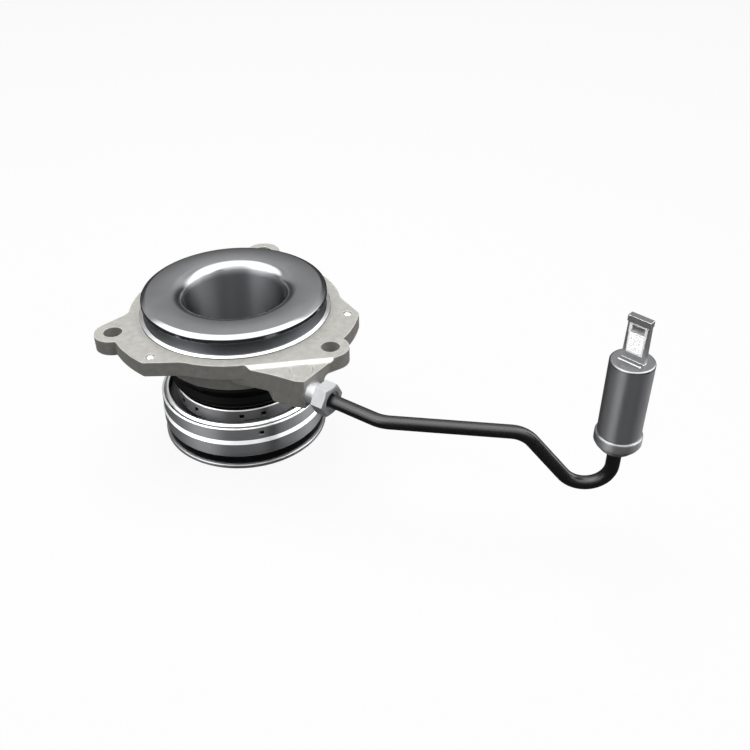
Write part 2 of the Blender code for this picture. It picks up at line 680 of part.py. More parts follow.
def barrel_profile():
    """Hub, neck and stepped bore of the housing as one turned section."""
    mouth_r = MOUTH_FILLET - SLEEVE_WALL - CLEAR
    mouth_z = SLEEVE_TOP - MOUTH_FILLET
    mouth_x = MOUTH_R
    mouth = [
        (mouth_x - mouth_r * math.cos(math.radians(a)), mouth_z + mouth_r * math.sin(math.radians(a)))
        for a in (90.0, 45.0, 0.0)
    ]
    groove_half = O_RING_WIRE_R + CLEAR
    groove_floor = HUB_TOP - 2 * O_RING_WIRE_R
    return mouth + [
        (SLEEVE_R + CLEAR, CHAMBER_TOP),
        (CYLINDER_R, CHAMBER_TOP),
        (CYLINDER_R, POCKET_TOP),
        (POCKET_R, POCKET_TOP),
        (POCKET_R, NECK_Z + BOOT_BEAD + CLEAR),
        (BOOT_BEAD_R + CLEAR, NECK_Z + BOOT_BEAD + CLEAR),
        (BOOT_BEAD_R + CLEAR, NECK_Z),
        (NECK_R, NECK_Z, NECK_EDGE),
        (NECK_R + NECK_TAPER, FLANGE_Z, NECK_FILLET),
        (NECK_R + NECK_TAPER + NECK_FILLET, FLANGE_Z),
        (NECK_R + NECK_TAPER + NECK_FILLET, FLANGE_Z + OVERLAP),
        (HUB_R, FLANGE_Z + OVERLAP),
        (HUB_R, HUB_TOP),
        (O_RING_R + groove_half, HUB_TOP),
        (O_RING_R + groove_half, groove_floor),
        (O_RING_R - groove_half, groove_floor),
        (O_RING_R - groove_half, HUB_TOP),
    ]


def port_axes():
    """Middle of the port on the block's face, the way out of it, and the way along the face."""
    out = polar(1.0, PORT_TURN)
    along = polar(1.0, PORT_TURN + 90.0)
    return Vector((PORT_X, PORT_Y, PORT_Z)), out, along


def block_outline():
    port, _, along = port_axes()
    corner = port - along * BLOCK_CORNER
    end = corner + along * BLOCK_FACE
    root_right = polar(ROOT_R, math.degrees(math.atan2(end.y, end.x)) + ROOT_LEAD)
    root_left = polar(ROOT_R, math.degrees(math.atan2(BLOCK_SIDE_Y, BLOCK_SIDE_X)))
    return rounded([
        (BLOCK_SIDE_X, BLOCK_SIDE_Y),
        (corner.x - BLOCK_NOSE, corner.y, BLOCK_EDGE),
        (corner.x, corner.y, BLOCK_EDGE),
        (end.x, end.y),
        (root_right.x, root_right.y),
        (root_left.x, root_left.y),
    ])


def web_outline():
    lead = math.degrees(math.atan2(BLOCK_SIDE_Y, BLOCK_SIDE_X)) + WEB_LEAD
    root_right = polar(ROOT_R, lead)
    root_left = polar(ROOT_R, math.degrees(math.atan2(WEB_Y, WEB_X)))
    inside = polar(FLANGE_R, lead)
    return [
        (WEB_X, WEB_Y),
        (BLOCK_SIDE_X, BLOCK_SIDE_Y),
        (inside.x, inside.y),
        (root_right.x, root_right.y),
        (root_left.x, root_left.y),
    ]


def port_lay():
    """Lays a shape that stands on Z along the port's axis, with its foot on the port face."""
    port, out, _ = port_axes()
    return Matrix.Translation(port * MM) @ out.to_track_quat("Z", "Y").to_matrix().to_4x4()


def shoulder_cutter(cutters, parent):
    """What is left away under the far end of the inlet block, with a round inner corner."""
    side = BLOCK_DEEP - BLOCK_CORNER
    end = BLOCK_FACE
    low = BLOCK_Z - OVERLAP - PORT_Z
    top = FLANGE_Z - PORT_Z
    outline = rounded([(side, low), (side, top, SHOULDER_FILLET), (end, top), (end, low)])
    item = extruded("shoulder_cutter", [outline], -STEP_CUT_LENGTH, OVERLAP, None, cutters, parent)
    item.data.transform(port_lay())
    return as_cutter(item)


def step_cutter(cutters, parent):
    """What is milled away above the inlet block, down a slope from the flange's top."""
    slope = STEP_LINE_SLOPE
    reach = STEP_CUT_LENGTH
    width = STEP_CUT_WIDTH
    profile = [
        Vector((0.0, FLANGE_TOP)),
        Vector((slope, BLOCK_TOP)),
        Vector((reach, BLOCK_TOP)),
        Vector((reach, FLANGE_TOP + OVERLAP)),
        Vector((-slope * OVERLAP / BLOCK_DROP, FLANGE_TOP + OVERLAP)),
    ]
    item = extruded("step_cutter", [[(p.x, p.y) for p in profile]], -width / 2, width / 2, None, cutters, parent)
    item.data.transform(Matrix.Rotation(math.radians(90.0), 4, "X"))
    item.data.transform(Matrix.Translation((STEP_LINE_OUT * MM, 0.0, 0.0)))
    item.data.transform(Matrix.Rotation(math.radians(STEP_LINE_TURN - 90.0), 4, "Z"))
    return as_cutter(item)


def make_housing(group, cutters, parent):
    cast = finish("cast_aluminium", (0.58, 0.56, 0.51), 0.45, 0.85)
    hole_r = (CYLINDER_R + HUB_R) / 2
    outlines = [flange_outline(), circle(hole_r, BIG_STEPS, 180.0 / BIG_STEPS)]
    housing = extruded("housing", outlines, FLANGE_Z, FLANGE_TOP, cast, group, parent)

    def cut(tool):
        boolean(housing, tool, "DIFFERENCE")

    def add(tool):
        boolean(housing, tool, "UNION")

    block_form = extruded("block_form", [block_outline()], BLOCK_Z, FLANGE_TOP - OVERLAP, None, cutters, parent)
    boolean(block_form, shoulder_cutter(cutters, parent), "DIFFERENCE")
    add(block_form)
    web_low = FLANGE_TOP - WEB_HEIGHT
    add(extruded("web_form", [web_outline()], web_low, FLANGE_TOP - OVERLAP / 2, None, cutters, parent))
    cut(step_cutter(cutters, parent))
    recess_floor = FLANGE_TOP - RECESS_DEPTH
    recess = [
        (RECESS_R, FLANGE_TOP + OVERLAP), (RECESS_R, recess_floor),
        (hole_r - OVERLAP, recess_floor), (hole_r - OVERLAP, FLANGE_TOP + OVERLAP),
    ]
    cut(turned("recess_cutter", recess, BIG_STEPS, None, cutters, parent))
    add(turned("barrel_form", barrel_profile(), BIG_STEPS, None, cutters, parent))

    low = BLOCK_Z - OVERLAP
    high = FLANGE_TOP + OVERLAP
    for k in range(3):
        turn = BOLT_TURN + 120.0 * k
        hole = polar(BOLT_CIRCLE_R, turn)
        cut(drill(f"bolt_cutter_{k + 1}", BOLT_HOLE_R, (hole.x, hole.y, low), (hole.x, hole.y, high),
                  SMALL_STEPS, cutters, parent))
        pin = polar(PIN_CIRCLE_R, turn + PIN_TURN)
        seat = FLANGE_TOP - PIN_LENGTH - CLEAR
        cut(drill(f"pin_cutter_{k + 1}", PIN_R + CLEAR, (pin.x, pin.y, seat), (pin.x, pin.y, high),
                  SMALL_STEPS, cutters, parent))
        rim = FLANGE_TOP - PIN_RECESS
        cut(drill(f"pin_recess_cutter_{k + 1}", PIN_RECESS_R, (pin.x, pin.y, rim), (pin.x, pin.y, high),
                  SMALL_STEPS, cutters, parent))

    port, out, _ = port_axes()
    cut(drill("port_cutter", PORT_THREAD_R + CLEAR, port - out * PORT_DEPTH, port + out * OVERLAP,
              SMALL_STEPS, cutters, parent))
    plug_floor = BLOCK_TOP - PLUG_DEPTH - CLEAR
    cut(drill("plug_cutter", PLUG_R + PLUG_GAP, (PLUG_X, PLUG_Y, plug_floor), (PLUG_X, PLUG_Y, high),
              SMALL_STEPS, cutters, parent))
    cut(drill("drill_cutter", DRILL_R, (PLUG_X, PLUG_Y, PORT_Z), (PLUG_X, PLUG_Y, plug_floor + OVERLAP),
              SMALL_STEPS // 2, cutters, parent))
    plug_turn = math.degrees(math.atan2(PLUG_Y, PLUG_X))
    oil_from = Vector((PLUG_X, PLUG_Y, PORT_Z + OVERLAP))
    oil_to = polar(CYLINDER_R - 2 * OVERLAP, plug_turn, CHAMBER_TOP - 2 * OIL_WAY_R)
    cut(drill("oil_way_cutter", OIL_WAY_R, oil_from, oil_to, SMALL_STEPS // 2, cutters, parent))
    shade_by_angle(housing)


def make_pins(group, parent):
    steel = finish("pin_steel", (0.86, 0.86, 0.86), 0.2, 1.0)
    foot = FLANGE_TOP - PIN_LENGTH
    for k in range(3):
        spot = polar(PIN_CIRCLE_R, BOLT_TURN + PIN_TURN + 120.0 * k)
        profile = [(0.0, FLANGE_TOP + PIN_DOME), (PIN_R, FLANGE_TOP, PIN_EDGE), (PIN_R, foot), (0.0, foot)]
        pin = spindle(f"locating_pin_{k + 1}", profile, SMALL_STEPS // 2, steel, group, parent)
        pin.location = (spot.x * MM, spot.y * MM, 0.0)


def make_plug(group, parent):
    plug_metal = finish("plug_aluminium", (0.6, 0.58, 0.53), 0.4, 0.85)
    low = BLOCK_TOP - PLUG_DEPTH
    profile = [(0.0, BLOCK_TOP), (PLUG_R, BLOCK_TOP), (PLUG_R, low), (0.0, low)]
    plug = spindle("channel_plug", profile, SMALL_STEPS, plug_metal, group, parent)
    plug.location = (PLUG_X * MM, PLUG_Y * MM, 0.0)


# The guide sleeve and what rides on it

def sleeve_profile():
    """Tube, flared mouth, flat collar and skirt, drawn from one sheet."""
    lip_top = FLANGE_TOP + SKIRT_LIP_RISE
    lip_low = lip_top - SKIRT_LIP_WALL
    rim_low = SLEEVE_TOP - COLLAR_RIM
    inner_wall = COLLAR_WALL_R - SLEEVE_WALL
    underside = SLEEVE_TOP - SLEEVE_WALL
    ring_seat = SLEEVE_R - RING_GROOVE
    return [
        (SLEEVE_BORE_R, SLEEVE_TOP, MOUTH_FILLET),
        (COLLAR_R, SLEEVE_TOP, COLLAR_ROUND),
        (COLLAR_R, rim_low),
        (COLLAR_WALL_R, rim_low - COLLAR_STEP, COLLAR_EDGE),
        (COLLAR_WALL_R, lip_top, SKIRT_FILLET),
        (COLLAR_WALL_R + SKIRT_LIP, lip_top),
        (COLLAR_WALL_R + SKIRT_LIP, lip_low),
        (inner_wall, lip_low),
        (inner_wall, underside),
        (SLEEVE_R, underside, MOUTH_FILLET - SLEEVE_WALL),
        (SLEEVE_R, RING_TOP + CLEAR / 2),
        (ring_seat, RING_TOP + CLEAR / 2),
        (ring_seat, RING_Z - CLEAR / 2),
        (SLEEVE_R, RING_Z - CLEAR / 2),
        (SLEEVE_R, SLEEVE_Z),
        (SLEEVE_BORE_R, SLEEVE_Z),
    ]


def ring_section(radius, height, wire_r):
    """Six corners of an O-ring's section."""
    turns = [math.radians(60.0 * k) for k in range(6)]
    return [(radius + wire_r * math.cos(turn), height + wire_r * math.sin(turn)) for turn in turns]


def make_sleeve(group, cutters, parent):
    steel = finish("sleeve_steel", (0.2, 0.21, 0.23), 0.32, 1.0)
    turned("guide_sleeve", sleeve_profile(), BIG_STEPS, steel, group, parent)

    rubber = finish("seal_rubber", (0.02, 0.02, 0.02), 0.6, 0.0)
    o_ring_z = HUB_TOP - O_RING_WIRE_R + CLEAR / 2
    o_ring = ring_section(O_RING_R, o_ring_z, O_RING_WIRE_R * O_RING_SQUEEZE)
    turned("flange_o_ring", o_ring, HIDDEN_STEPS, rubber, group, parent)

    spring_steel = finish("ring_steel", (0.3, 0.3, 0.31), 0.35, 1.0)
    ring_out = SLEEVE_R + RING_RADIAL
    profile = [(RING_IN_R, RING_TOP), (ring_out, RING_TOP), (ring_out, RING_Z), (RING_IN_R, RING_Z)]
    ring = turned("retaining_ring", profile, BIG_STEPS, spring_steel, group, parent)
    gap = block("ring_gap_cutter", (RING_GAP, 2 * RING_REACH, 4 * RING_WALL),
                (0.0, SLEEVE_R, (RING_TOP + RING_Z) / 2), 0.0, None, cutters, parent)
    boolean(ring, gap, "DIFFERENCE")
    shade_by_angle(ring)


# The release carriage

def make_piston(group, parent):
    alloy = finish("piston_alloy", (0.62, 0.63, 0.64), 0.35, 0.9)
    profile = [
        (PISTON_IN_R, PISTON_TOP), (PISTON_R, PISTON_TOP, PISTON_EDGE),
        (PISTON_R, PISTON_Z), (PISTON_IN_R, PISTON_Z),
    ]
    turned("piston", profile, HIDDEN_STEPS, alloy, group, parent)

    rubber = finish("piston_rubber", (0.03, 0.03, 0.035), 0.55, 0.0)
    middle = (PISTON_IN_R + PISTON_R) / 2
    lip = PISTON_WALL * SEAL_LIP
    profile = [
        (PISTON_IN_R, SEAL_TOP), (PISTON_IN_R + lip, SEAL_TOP),
        (middle, SEAL_TOP - SEAL_LIP_DEPTH),
        (PISTON_R - lip, SEAL_TOP), (PISTON_R, SEAL_TOP),
        (PISTON_R, SEAL_Z), (PISTON_IN_R, SEAL_Z),
    ]
    turned("piston_seal", profile, HIDDEN_STEPS, rubber, group, parent)


def make_spring(group, parent):
    """Preload spring: its end coils lie flat, and the turns between rise evenly."""
    steel = finish("spring_steel", (0.25, 0.25, 0.26), 0.4, 1.0)
    low = PISTON_Z + SPRING_WIRE_R
    high = POCKET_TOP - CLEAR - SPRING_WIRE_R
    climb = 2 * SPRING_WIRE_R + CLEAR / 2
    points = []
    for k in range(SPRING_TURNS * SPRING_STEPS + 1):
        turns = k / SPRING_STEPS
        rise = min(max((turns - SPRING_LEAD) / (SPRING_TURNS - 2 * SPRING_LEAD), 0.0), 1.0)
        lead_in = min(turns / SPRING_LEAD, 1.0) * climb
        lead_out = max(turns - (SPRING_TURNS - SPRING_LEAD), 0.0) / SPRING_LEAD * climb
        height = low + lead_in + rise * (high - low - 2 * climb) + lead_out
        points.append(polar(SPRING_R, 360.0 * turns, height))
    wire("preload_spring", points, SPRING_WIRE_R, 6, steel, group, parent)


def boot_profile():
    """Bellows of even wall: bead in the neck, folds between, and a cuff inside the retainer."""
    bead_top = NECK_Z + BOOT_BEAD
    cuff_top = RETAINER_TOP + BOOT_CUFF
    fold_top = NECK_Z - BOOT_CUFF
    neck_gap = NECK_Z + CLEAR
    outer = [(BOOT_R, PISTON_Z), (BOOT_R, cuff_top)]
    inner = [(BOOT_IN_R, PISTON_Z), (BOOT_IN_R, cuff_top + BOOT_WALL)]
    pitch = (fold_top - cuff_top) / BOOT_FOLDS
    for k in range(BOOT_FOLDS):
        crest = cuff_top + (k + 0.5) * pitch
        root = cuff_top + (k + 1.0) * pitch
        outer.append((BOOT_FOLD_R, crest, BOOT_WALL))
        inner.append((BOOT_FOLD_R - math.sqrt(2.0) * BOOT_WALL, crest))
        if k < BOOT_FOLDS - 1:
            outer.append((BOOT_R + BOOT_CREASE, root))
            inner.append((BOOT_IN_R + BOOT_CREASE / 2, root))
    outer += [(BOOT_R, fold_top), (BOOT_R, neck_gap), (BOOT_BEAD_R, neck_gap), (BOOT_BEAD_R, bead_top)]
    inner += [(BOOT_IN_R, fold_top - BOOT_WALL), (BOOT_IN_R, bead_top)]
    return outer + inner[::-1]


def make_boot(group, parent):
    rubber = finish("boot_rubber", (0.012, 0.012, 0.013), 0.5, 0.0)
    turned("dust_boot", boot_profile(), HIDDEN_STEPS, rubber, group, parent)


def wall_boxes(name, size, radius, height, turns, cutters, parent):
    """Square cutters through a round wall."""
    tools = []
    for k, turn in enumerate(turns):
        spot = polar(radius, turn, height)
        tools.append(block(f"{name}_{k + 1}", size, spot, turn, None, cutters, parent))
    return tools


def make_retainer(group, cutters, parent):
    sheet = finish("retainer_steel", (0.32, 0.33, 0.35), 0.38, 1.0)
    profile = [
        (RETAINER_IN_R, RETAINER_TOP), (RETAINER_R, RETAINER_TOP),
        (RETAINER_R, RETAINER_Z, RETAINER_SHEET), (PISTON_IN_R + CLEAR, RETAINER_Z),
        (PISTON_IN_R + CLEAR, RETAINER_Z + RETAINER_SHEET), (RETAINER_IN_R, RETAINER_Z + RETAINER_SHEET),
    ]
    retainer = turned("boot_retainer", profile, BIG_STEPS, sheet, group, parent)
    middle = (RETAINER_IN_R + RETAINER_R) / 2
    deep = 4 * RETAINER_SHEET
    clips = [CLIP_TURN + 360.0 * k / CLIP_COUNT for k in range(CLIP_COUNT)]
    holes = [turn + side * CLIP_SPAN / 2 for turn in clips for side in (-1, 1)]
    boxes = wall_boxes("clip_hole_cutter", (deep, CLIP_HOLE, CLIP_HOLE), middle,
                       RETAINER_Z + CLIP_HOLE_HEIGHT, holes, cutters, parent)
    boxes += wall_boxes("clip_slot_cutter", (deep, CLIP_SLOT_WIDTH, CLIP_SLOT), middle,
                        RETAINER_Z + CLIP_SLOT_HEIGHT, clips, cutters, parent)
    for box in boxes:
        boolean(retainer, box, "DIFFERENCE")
    shade_by_angle(retainer)


def make_plate(group, parent):
    sheet = finish("plate_steel", (0.55, 0.55, 0.56), 0.25, 1.0)
    bead_top = PLATE_TOP + PLATE_BEAD_RISE
    profile = [
        (SLEEVE_R + CLEAR, PLATE_Z), (SLEEVE_R + CLEAR, PLATE_TOP),
        (PLATE_BEAD_IN_R, PLATE_TOP), (PLATE_BEAD_IN_R, bead_top, PLATE_BEAD_EDGE),
        (PLATE_BEAD_OUT_R, bead_top - PLATE_BEAD_SLOPE, PLATE_BEAD_EDGE), (PLATE_BEAD_OUT_R, PLATE_Z),
    ]
    turned("carrier_plate", profile, BIG_STEPS, sheet, group, parent)


def make_wave_washer(group, parent):
    steel = finish("washer_steel", (0.35, 0.35, 0.36), 0.35, 1.0)
    middle = WAVE_Z + WAVE_HEIGHT / 2
    low = middle - WAVE_SHEET / 2
    high = middle + WAVE_SHEET / 2
    profile = [(WAVE_IN_R, low), (WAVE_IN_R, high), (WAVE_OUT_R, high), (WAVE_OUT_R, low)]
    washer = turned("centring_washer", profile, HIDDEN_STEPS, steel, group, parent)
    swing = (WAVE_HEIGHT - WAVE_SHEET) / 2 * MM
    for vert in washer.data.vertices:
        angle = math.atan2(vert.co.y, vert.co.x)
        vert.co.z += swing * math.cos(WAVE_COUNT * angle)


def groove_arc(face, centre, side):
    """Raceway groove across a flat face, seen in section, from the inner edge outwards."""
    radius = BALL_R + CLEAR
    half = math.acos(min(1.0, abs(face - centre) / radius))
    count = 4
    points = []
    for k in range(count + 1):
        angle = -half + 2 * half * k / count
        points.append((BALL_PITCH_R + radius * math.sin(angle), centre + side * radius * math.cos(angle)))
    return points


def make_races(group, carriage, spinning):
    steel = finish("race_steel", (0.5, 0.51, 0.52), 0.22, 1.0)
    upper_out = THRUST_R - COVER_WALL - CLEAR
    upper = groove_arc(UPPER_RACE_Z, BALL_Z, 1.0) + [
        (upper_out, UPPER_RACE_Z), (upper_out, UPPER_RACE_TOP - UPPER_RACE_BEVEL),
        (upper_out - UPPER_RACE_BEVEL / 2, UPPER_RACE_TOP),
        (UPPER_RACE_BORE_R, UPPER_RACE_TOP), (UPPER_RACE_BORE_R, UPPER_RACE_Z),
    ]
    turned("upper_race", upper, BIG_STEPS, steel, group, carriage)

    thrust_steel = finish("thrust_steel", (0.42, 0.43, 0.45), 0.28, 1.0)
    outer = BALL_PITCH_R + RACE_HALF_WIDTH
    inner = BALL_PITCH_R - RACE_HALF_WIDTH
    lower = groove_arc(LOWER_RACE_Z, BALL_Z, -1.0) + [
        (outer, LOWER_RACE_Z), (outer, THRUST_RIM),
        (THRUST_R, THRUST_RIM, THRUST_EDGE), (THRUST_R, 0.0, THRUST_EDGE),
        (THRUST_BORE_R, 0.0), (THRUST_BORE_R, THRUST_RIM),
        (inner, THRUST_RIM), (inner, LOWER_RACE_Z),
    ]
    turned("thrust_ring", lower, BIG_STEPS, thrust_steel, group, spinning)


def make_balls(group, parent):
    steel = finish("ball_steel", (0.75, 0.75, 0.77), 0.08, 1.0)
    mesh = bpy.data.meshes.new("bearing_ball")
    work = bmesh.new()
    bmesh.ops.create_uvsphere(work, u_segments=BALL_SEGMENTS, v_segments=BALL_RINGS, radius=BALL_R * MM)
    work.to_mesh(mesh)
    work.free()
    mesh.shade_smooth()
    for k in range(BALL_COUNT):
        ball = place(f"bearing_ball_{k + 1:02d}", mesh, steel, group, parent)
        ball.location = polar(BALL_PITCH_R, 360.0 * k / BALL_COUNT, BALL_Z) * MM

    plastic = finish("cage_plastic", (0.75, 0.7, 0.55), 0.5, 0.0)
    half = BALL_R + CLEAR + CAGE_EDGE
    low = BALL_Z - CAGE_WALL / 2
    high = BALL_Z + CAGE_WALL / 2
    outlines = [circle(BALL_PITCH_R + half, HIDDEN_STEPS), circle(BALL_PITCH_R - half, HIDDEN_STEPS)]
    for k in range(BALL_COUNT):
        spot = polar(BALL_PITCH_R, 360.0 * k / BALL_COUNT)
        outlines.append([spot + point for point in circle(BALL_R + CLEAR, 8)])
    extruded("ball_cage", outlines, low, high, plastic, group, parent)


def make_cover(group, cutters, parent):
    sheet = finish("cover_steel", (0.36, 0.37, 0.39), 0.3, 1.0)
    lip_top = COVER_Z + COVER_LIP
    band_top = UPPER_RACE_TOP - UPPER_RACE_BEVEL + COVER_OVER
    bevel_top = band_top + COVER_BEVEL
    rim_top = bevel_top + COVER_UPPER
    rim_r = COVER_RIM_R
    lip_r = COVER_FOOT_R
    profile = [
        (rim_r - COVER_WALL, rim_top), (rim_r, rim_top, COVER_EDGE),
        (rim_r, bevel_top), (THRUST_R, band_top), (THRUST_R, lip_top),
        (lip_r, lip_top), (lip_r, COVER_Z, COVER_EDGE),
        (lip_r - COVER_WALL, COVER_Z), (lip_r - COVER_WALL, lip_top),
        (THRUST_R - COVER_WALL, lip_top + COVER_LIP_STEP), (THRUST_R - COVER_WALL, band_top - COVER_EDGE),
        (rim_r - COVER_WALL, bevel_top - COVER_EDGE),
    ]
    cover = turned("bearing_cover", profile, BIG_STEPS, sheet, group, parent)
    middle = bevel_top + COVER_UPPER * COVER_HOLE_RISE
    turns = [COVER_HOLE_TURN + 360.0 * k / COVER_HOLES for k in range(COVER_HOLES)]
    size = (4 * COVER_WALL, COVER_HOLE, COVER_HOLE)
    for box in wall_boxes("cover_hole_cutter", size, rim_r - COVER_WALL, middle, turns, cutters, parent):
        boolean(cover, box, "DIFFERENCE")
    shade_by_angle(cover)

    rubber = finish("bearing_rubber", (0.012, 0.012, 0.012), 0.45, 0.0)
    outer = lip_r - COVER_WALL - CLEAR
    inner = BALL_PITCH_R + RACE_HALF_WIDTH + CLEAR
    low = THRUST_RIM + CLEAR
    high = BALL_Z - CAGE_WALL / 2 - CLEAR
    profile = [(inner, high), (outer, high), (outer, low), (inner, low)]
    turned("bearing_seal", profile, HIDDEN_STEPS, rubber, group, parent)


# The pipe and its union

def make_nut(group, cutters, parent):
    zinc = finish("zinc_plate", (0.72, 0.73, 0.75), 0.3, 0.9)
    inside = PORT_DEPTH - OLIVE_LENGTH - 2 * CLEAR
    hex_start = NUT_SHANK
    hex_end = NUT_SHANK + NUT_HEX
    corner_r = NUT_FLATS / math.sqrt(3.0)
    hexagon = [polar(corner_r, 60.0 * k + NUT_HEX_TURN) for k in range(6)]
    nut = extruded("pipe_nut", [hexagon], hex_start, hex_end, zinc, group, parent)
    slope = NUT_BEVEL / (corner_r - NUT_FACE_R)
    dome = [
        (0.0, hex_end + slope), (NUT_FACE_R - 1.0, hex_end + slope),
        (corner_r + 1.0, hex_end - NUT_BEVEL - slope), (corner_r + 1.0, hex_start - OVERLAP),
        (0.0, hex_start - OVERLAP),
    ]
    dome_form = spindle("nut_dome_form", dome, SMALL_STEPS, None, cutters, parent)
    boolean(nut, dome_form, "INTERSECT")
    shank = [
        (0.0, hex_start + OVERLAP), (PORT_THREAD_R, hex_start + OVERLAP),
        (PORT_THREAD_R, -inside), (0.0, -inside),
    ]
    shank_form = spindle("nut_shank_form", shank, SMALL_STEPS, None, cutters, parent)
    boolean(nut, shank_form, "UNION")
    bore = drill("nut_bore_cutter", PIPE_R + CLEAR, (0, 0, -inside - OVERLAP), (0, 0, hex_end + OVERLAP),
                 PIPE_SIDES * 2, cutters, parent)
    boolean(nut, bore, "DIFFERENCE")
    shade_by_angle(nut)
    for item in (nut, dome_form, shank_form, bore):
        item.matrix_local = port_lay()

    brass = finish("olive_brass", (0.7, 0.6, 0.35), 0.35, 0.9)
    start = -PORT_DEPTH + CLEAR
    profile = [
        (PIPE_R + CLEAR, start), (PIPE_R + CLEAR, start + OLIVE_LENGTH),
        (OLIVE_R, start + OLIVE_LENGTH / 2), (OLIVE_R * OLIVE_TAPER, start),
    ]
    olive = turned("pipe_olive", profile, SMALL_STEPS, brass, group, parent)
    olive.matrix_local = port_lay()


def bend(before, corner, after, radius, step):
    """Points of a round bend in space between two straight runs."""
    to_before = (before - corner).normalized()
    to_after = (after - corner).normalized()
    half = to_before.angle(to_after) / 2
    reach = radius / math.tan(half)
    centre = corner + (to_before + to_after).normalized() * radius / math.sin(half)
    first = corner + to_before * reach - centre
    last = corner + to_after * reach - centre
    count = max(2, math.ceil(math.degrees(math.pi - 2 * half) / step))
    return [centre + first.normalized().slerp(last.normalized(), k / count) * radius for k in range(count + 1)]


def pipe_points():
    """Out of the port, along the upright plane, down the dive and round the hook into the connector."""
    port, out, _ = port_axes()
    start = port - out * (PORT_DEPTH - 2 * CLEAR)
    run = port + out * ((PIPE_PLANE_Y - port.y) / out.y)
    dive = Vector((PIPE_DIVE_X, PIPE_PLANE_Y, PORT_Z))
    drop = (CONNECTOR_X - PIPE_DIVE_X) * math.tan(math.radians(PIPE_DIVE_TURN))
    hook = Vector((CONNECTOR_X, PIPE_PLANE_Y, PORT_Z - drop))
    end = Vector((CONNECTOR_X, PIPE_PLANE_Y, CONNECTOR_Z - BOSS_DROP + SOCKET_DEPTH - CLEAR))
    points = [start]
    points += bend(start, run, dive, RUN_BEND_R, RUN_BEND_STEP)
    points += bend(run, dive, hook, DIVE_BEND_R, HOOK_BEND_STEP)
    points += bend(dive, hook, end, HOOK_BEND_R, HOOK_BEND_STEP)
    return points + [end]


def make_pipe(group, parent):
    coated = finish("pipe_coating", (0.03, 0.03, 0.032), 0.35, 0.2)
    wire("pressure_pipe", pipe_points(), PIPE_R, PIPE_SIDES, coated, group, parent)


# The line connector

def make_connector(group, parent):
    grey = finish("connector_plastic", (0.2, 0.2, 0.21), 0.4, 0.1)
    foot = CONNECTOR_Z - BOSS_DROP
    stem_top = CONNECTOR_TOP + STEM_LENGTH
    socket_top = foot + SOCKET_DEPTH
    seal_low = CONNECTOR_TOP + STEM_SEAL_HEIGHT - STEM_SEAL_R - CLEAR
    seal_high = CONNECTOR_TOP + STEM_SEAL_HEIGHT + STEM_SEAL_R + CLEAR
    latch = CONNECTOR_TOP + STEM_LATCH_HEIGHT
    groove_r = STEM_R - STEM_GROOVE_DEPTH
    profile = [
        (STEM_BORE_R, stem_top), (STEM_R, stem_top, STEM_BEVEL),
        (STEM_R, latch + STEM_LATCH), (groove_r, latch + STEM_LATCH), (groove_r, latch), (STEM_R, latch),
        (STEM_R, seal_high), (groove_r, seal_high), (groove_r, seal_low), (STEM_R, seal_low),
        (STEM_R, CONNECTOR_TOP + STEM_LAND), (STEM_LAND_R, CONNECTOR_TOP + STEM_LAND),
        (STEM_LAND_R, CONNECTOR_TOP),
        (COLLAR_RING_R, CONNECTOR_TOP, COLLAR_RING_EDGE), (COLLAR_RING_R, CONNECTOR_Z, COLLAR_RING_EDGE),
        (BOSS_TOP_R, CONNECTOR_Z), (BOSS_FOOT_R, foot),
        (PIPE_R + CLEAR, foot), (PIPE_R + CLEAR, socket_top), (STEM_BORE_R, socket_top),
    ]
    body = turned("connector_body", profile, SMALL_STEPS, grey, group, parent)
    rubber = finish("stem_rubber", (0.02, 0.02, 0.02), 0.5, 0.0)
    ring_r = groove_r + CLEAR + STEM_SEAL_R
    ring_z = CONNECTOR_TOP + STEM_SEAL_HEIGHT
    section = ring_section(ring_r, ring_z, STEM_SEAL_R)
    seal = turned("stem_o_ring", section, SMALL_STEPS, rubber, group, parent)
    for item in (body, seal):
        item.location = (CONNECTOR_X * MM, PIPE_PLANE_Y * MM, 0.0)


def tab_box(name, outlines, back, front, group, parent, material=None):
    """A flat shape standing on the cap: outlines are (across, up), and its thickness runs from back to front."""
    item = extruded(name, outlines, back, front, material, group, parent)
    item.data.transform(Matrix.Rotation(math.radians(90.0), 4, "X"))
    item.data.transform(Matrix.Rotation(math.radians(TAB_TURN), 4, "Z"))
    return item


def trapezium(foot_width, top_width, low, high):
    return [(-foot_width / 2, low), (foot_width / 2, low), (top_width / 2, high), (-top_width / 2, high)]


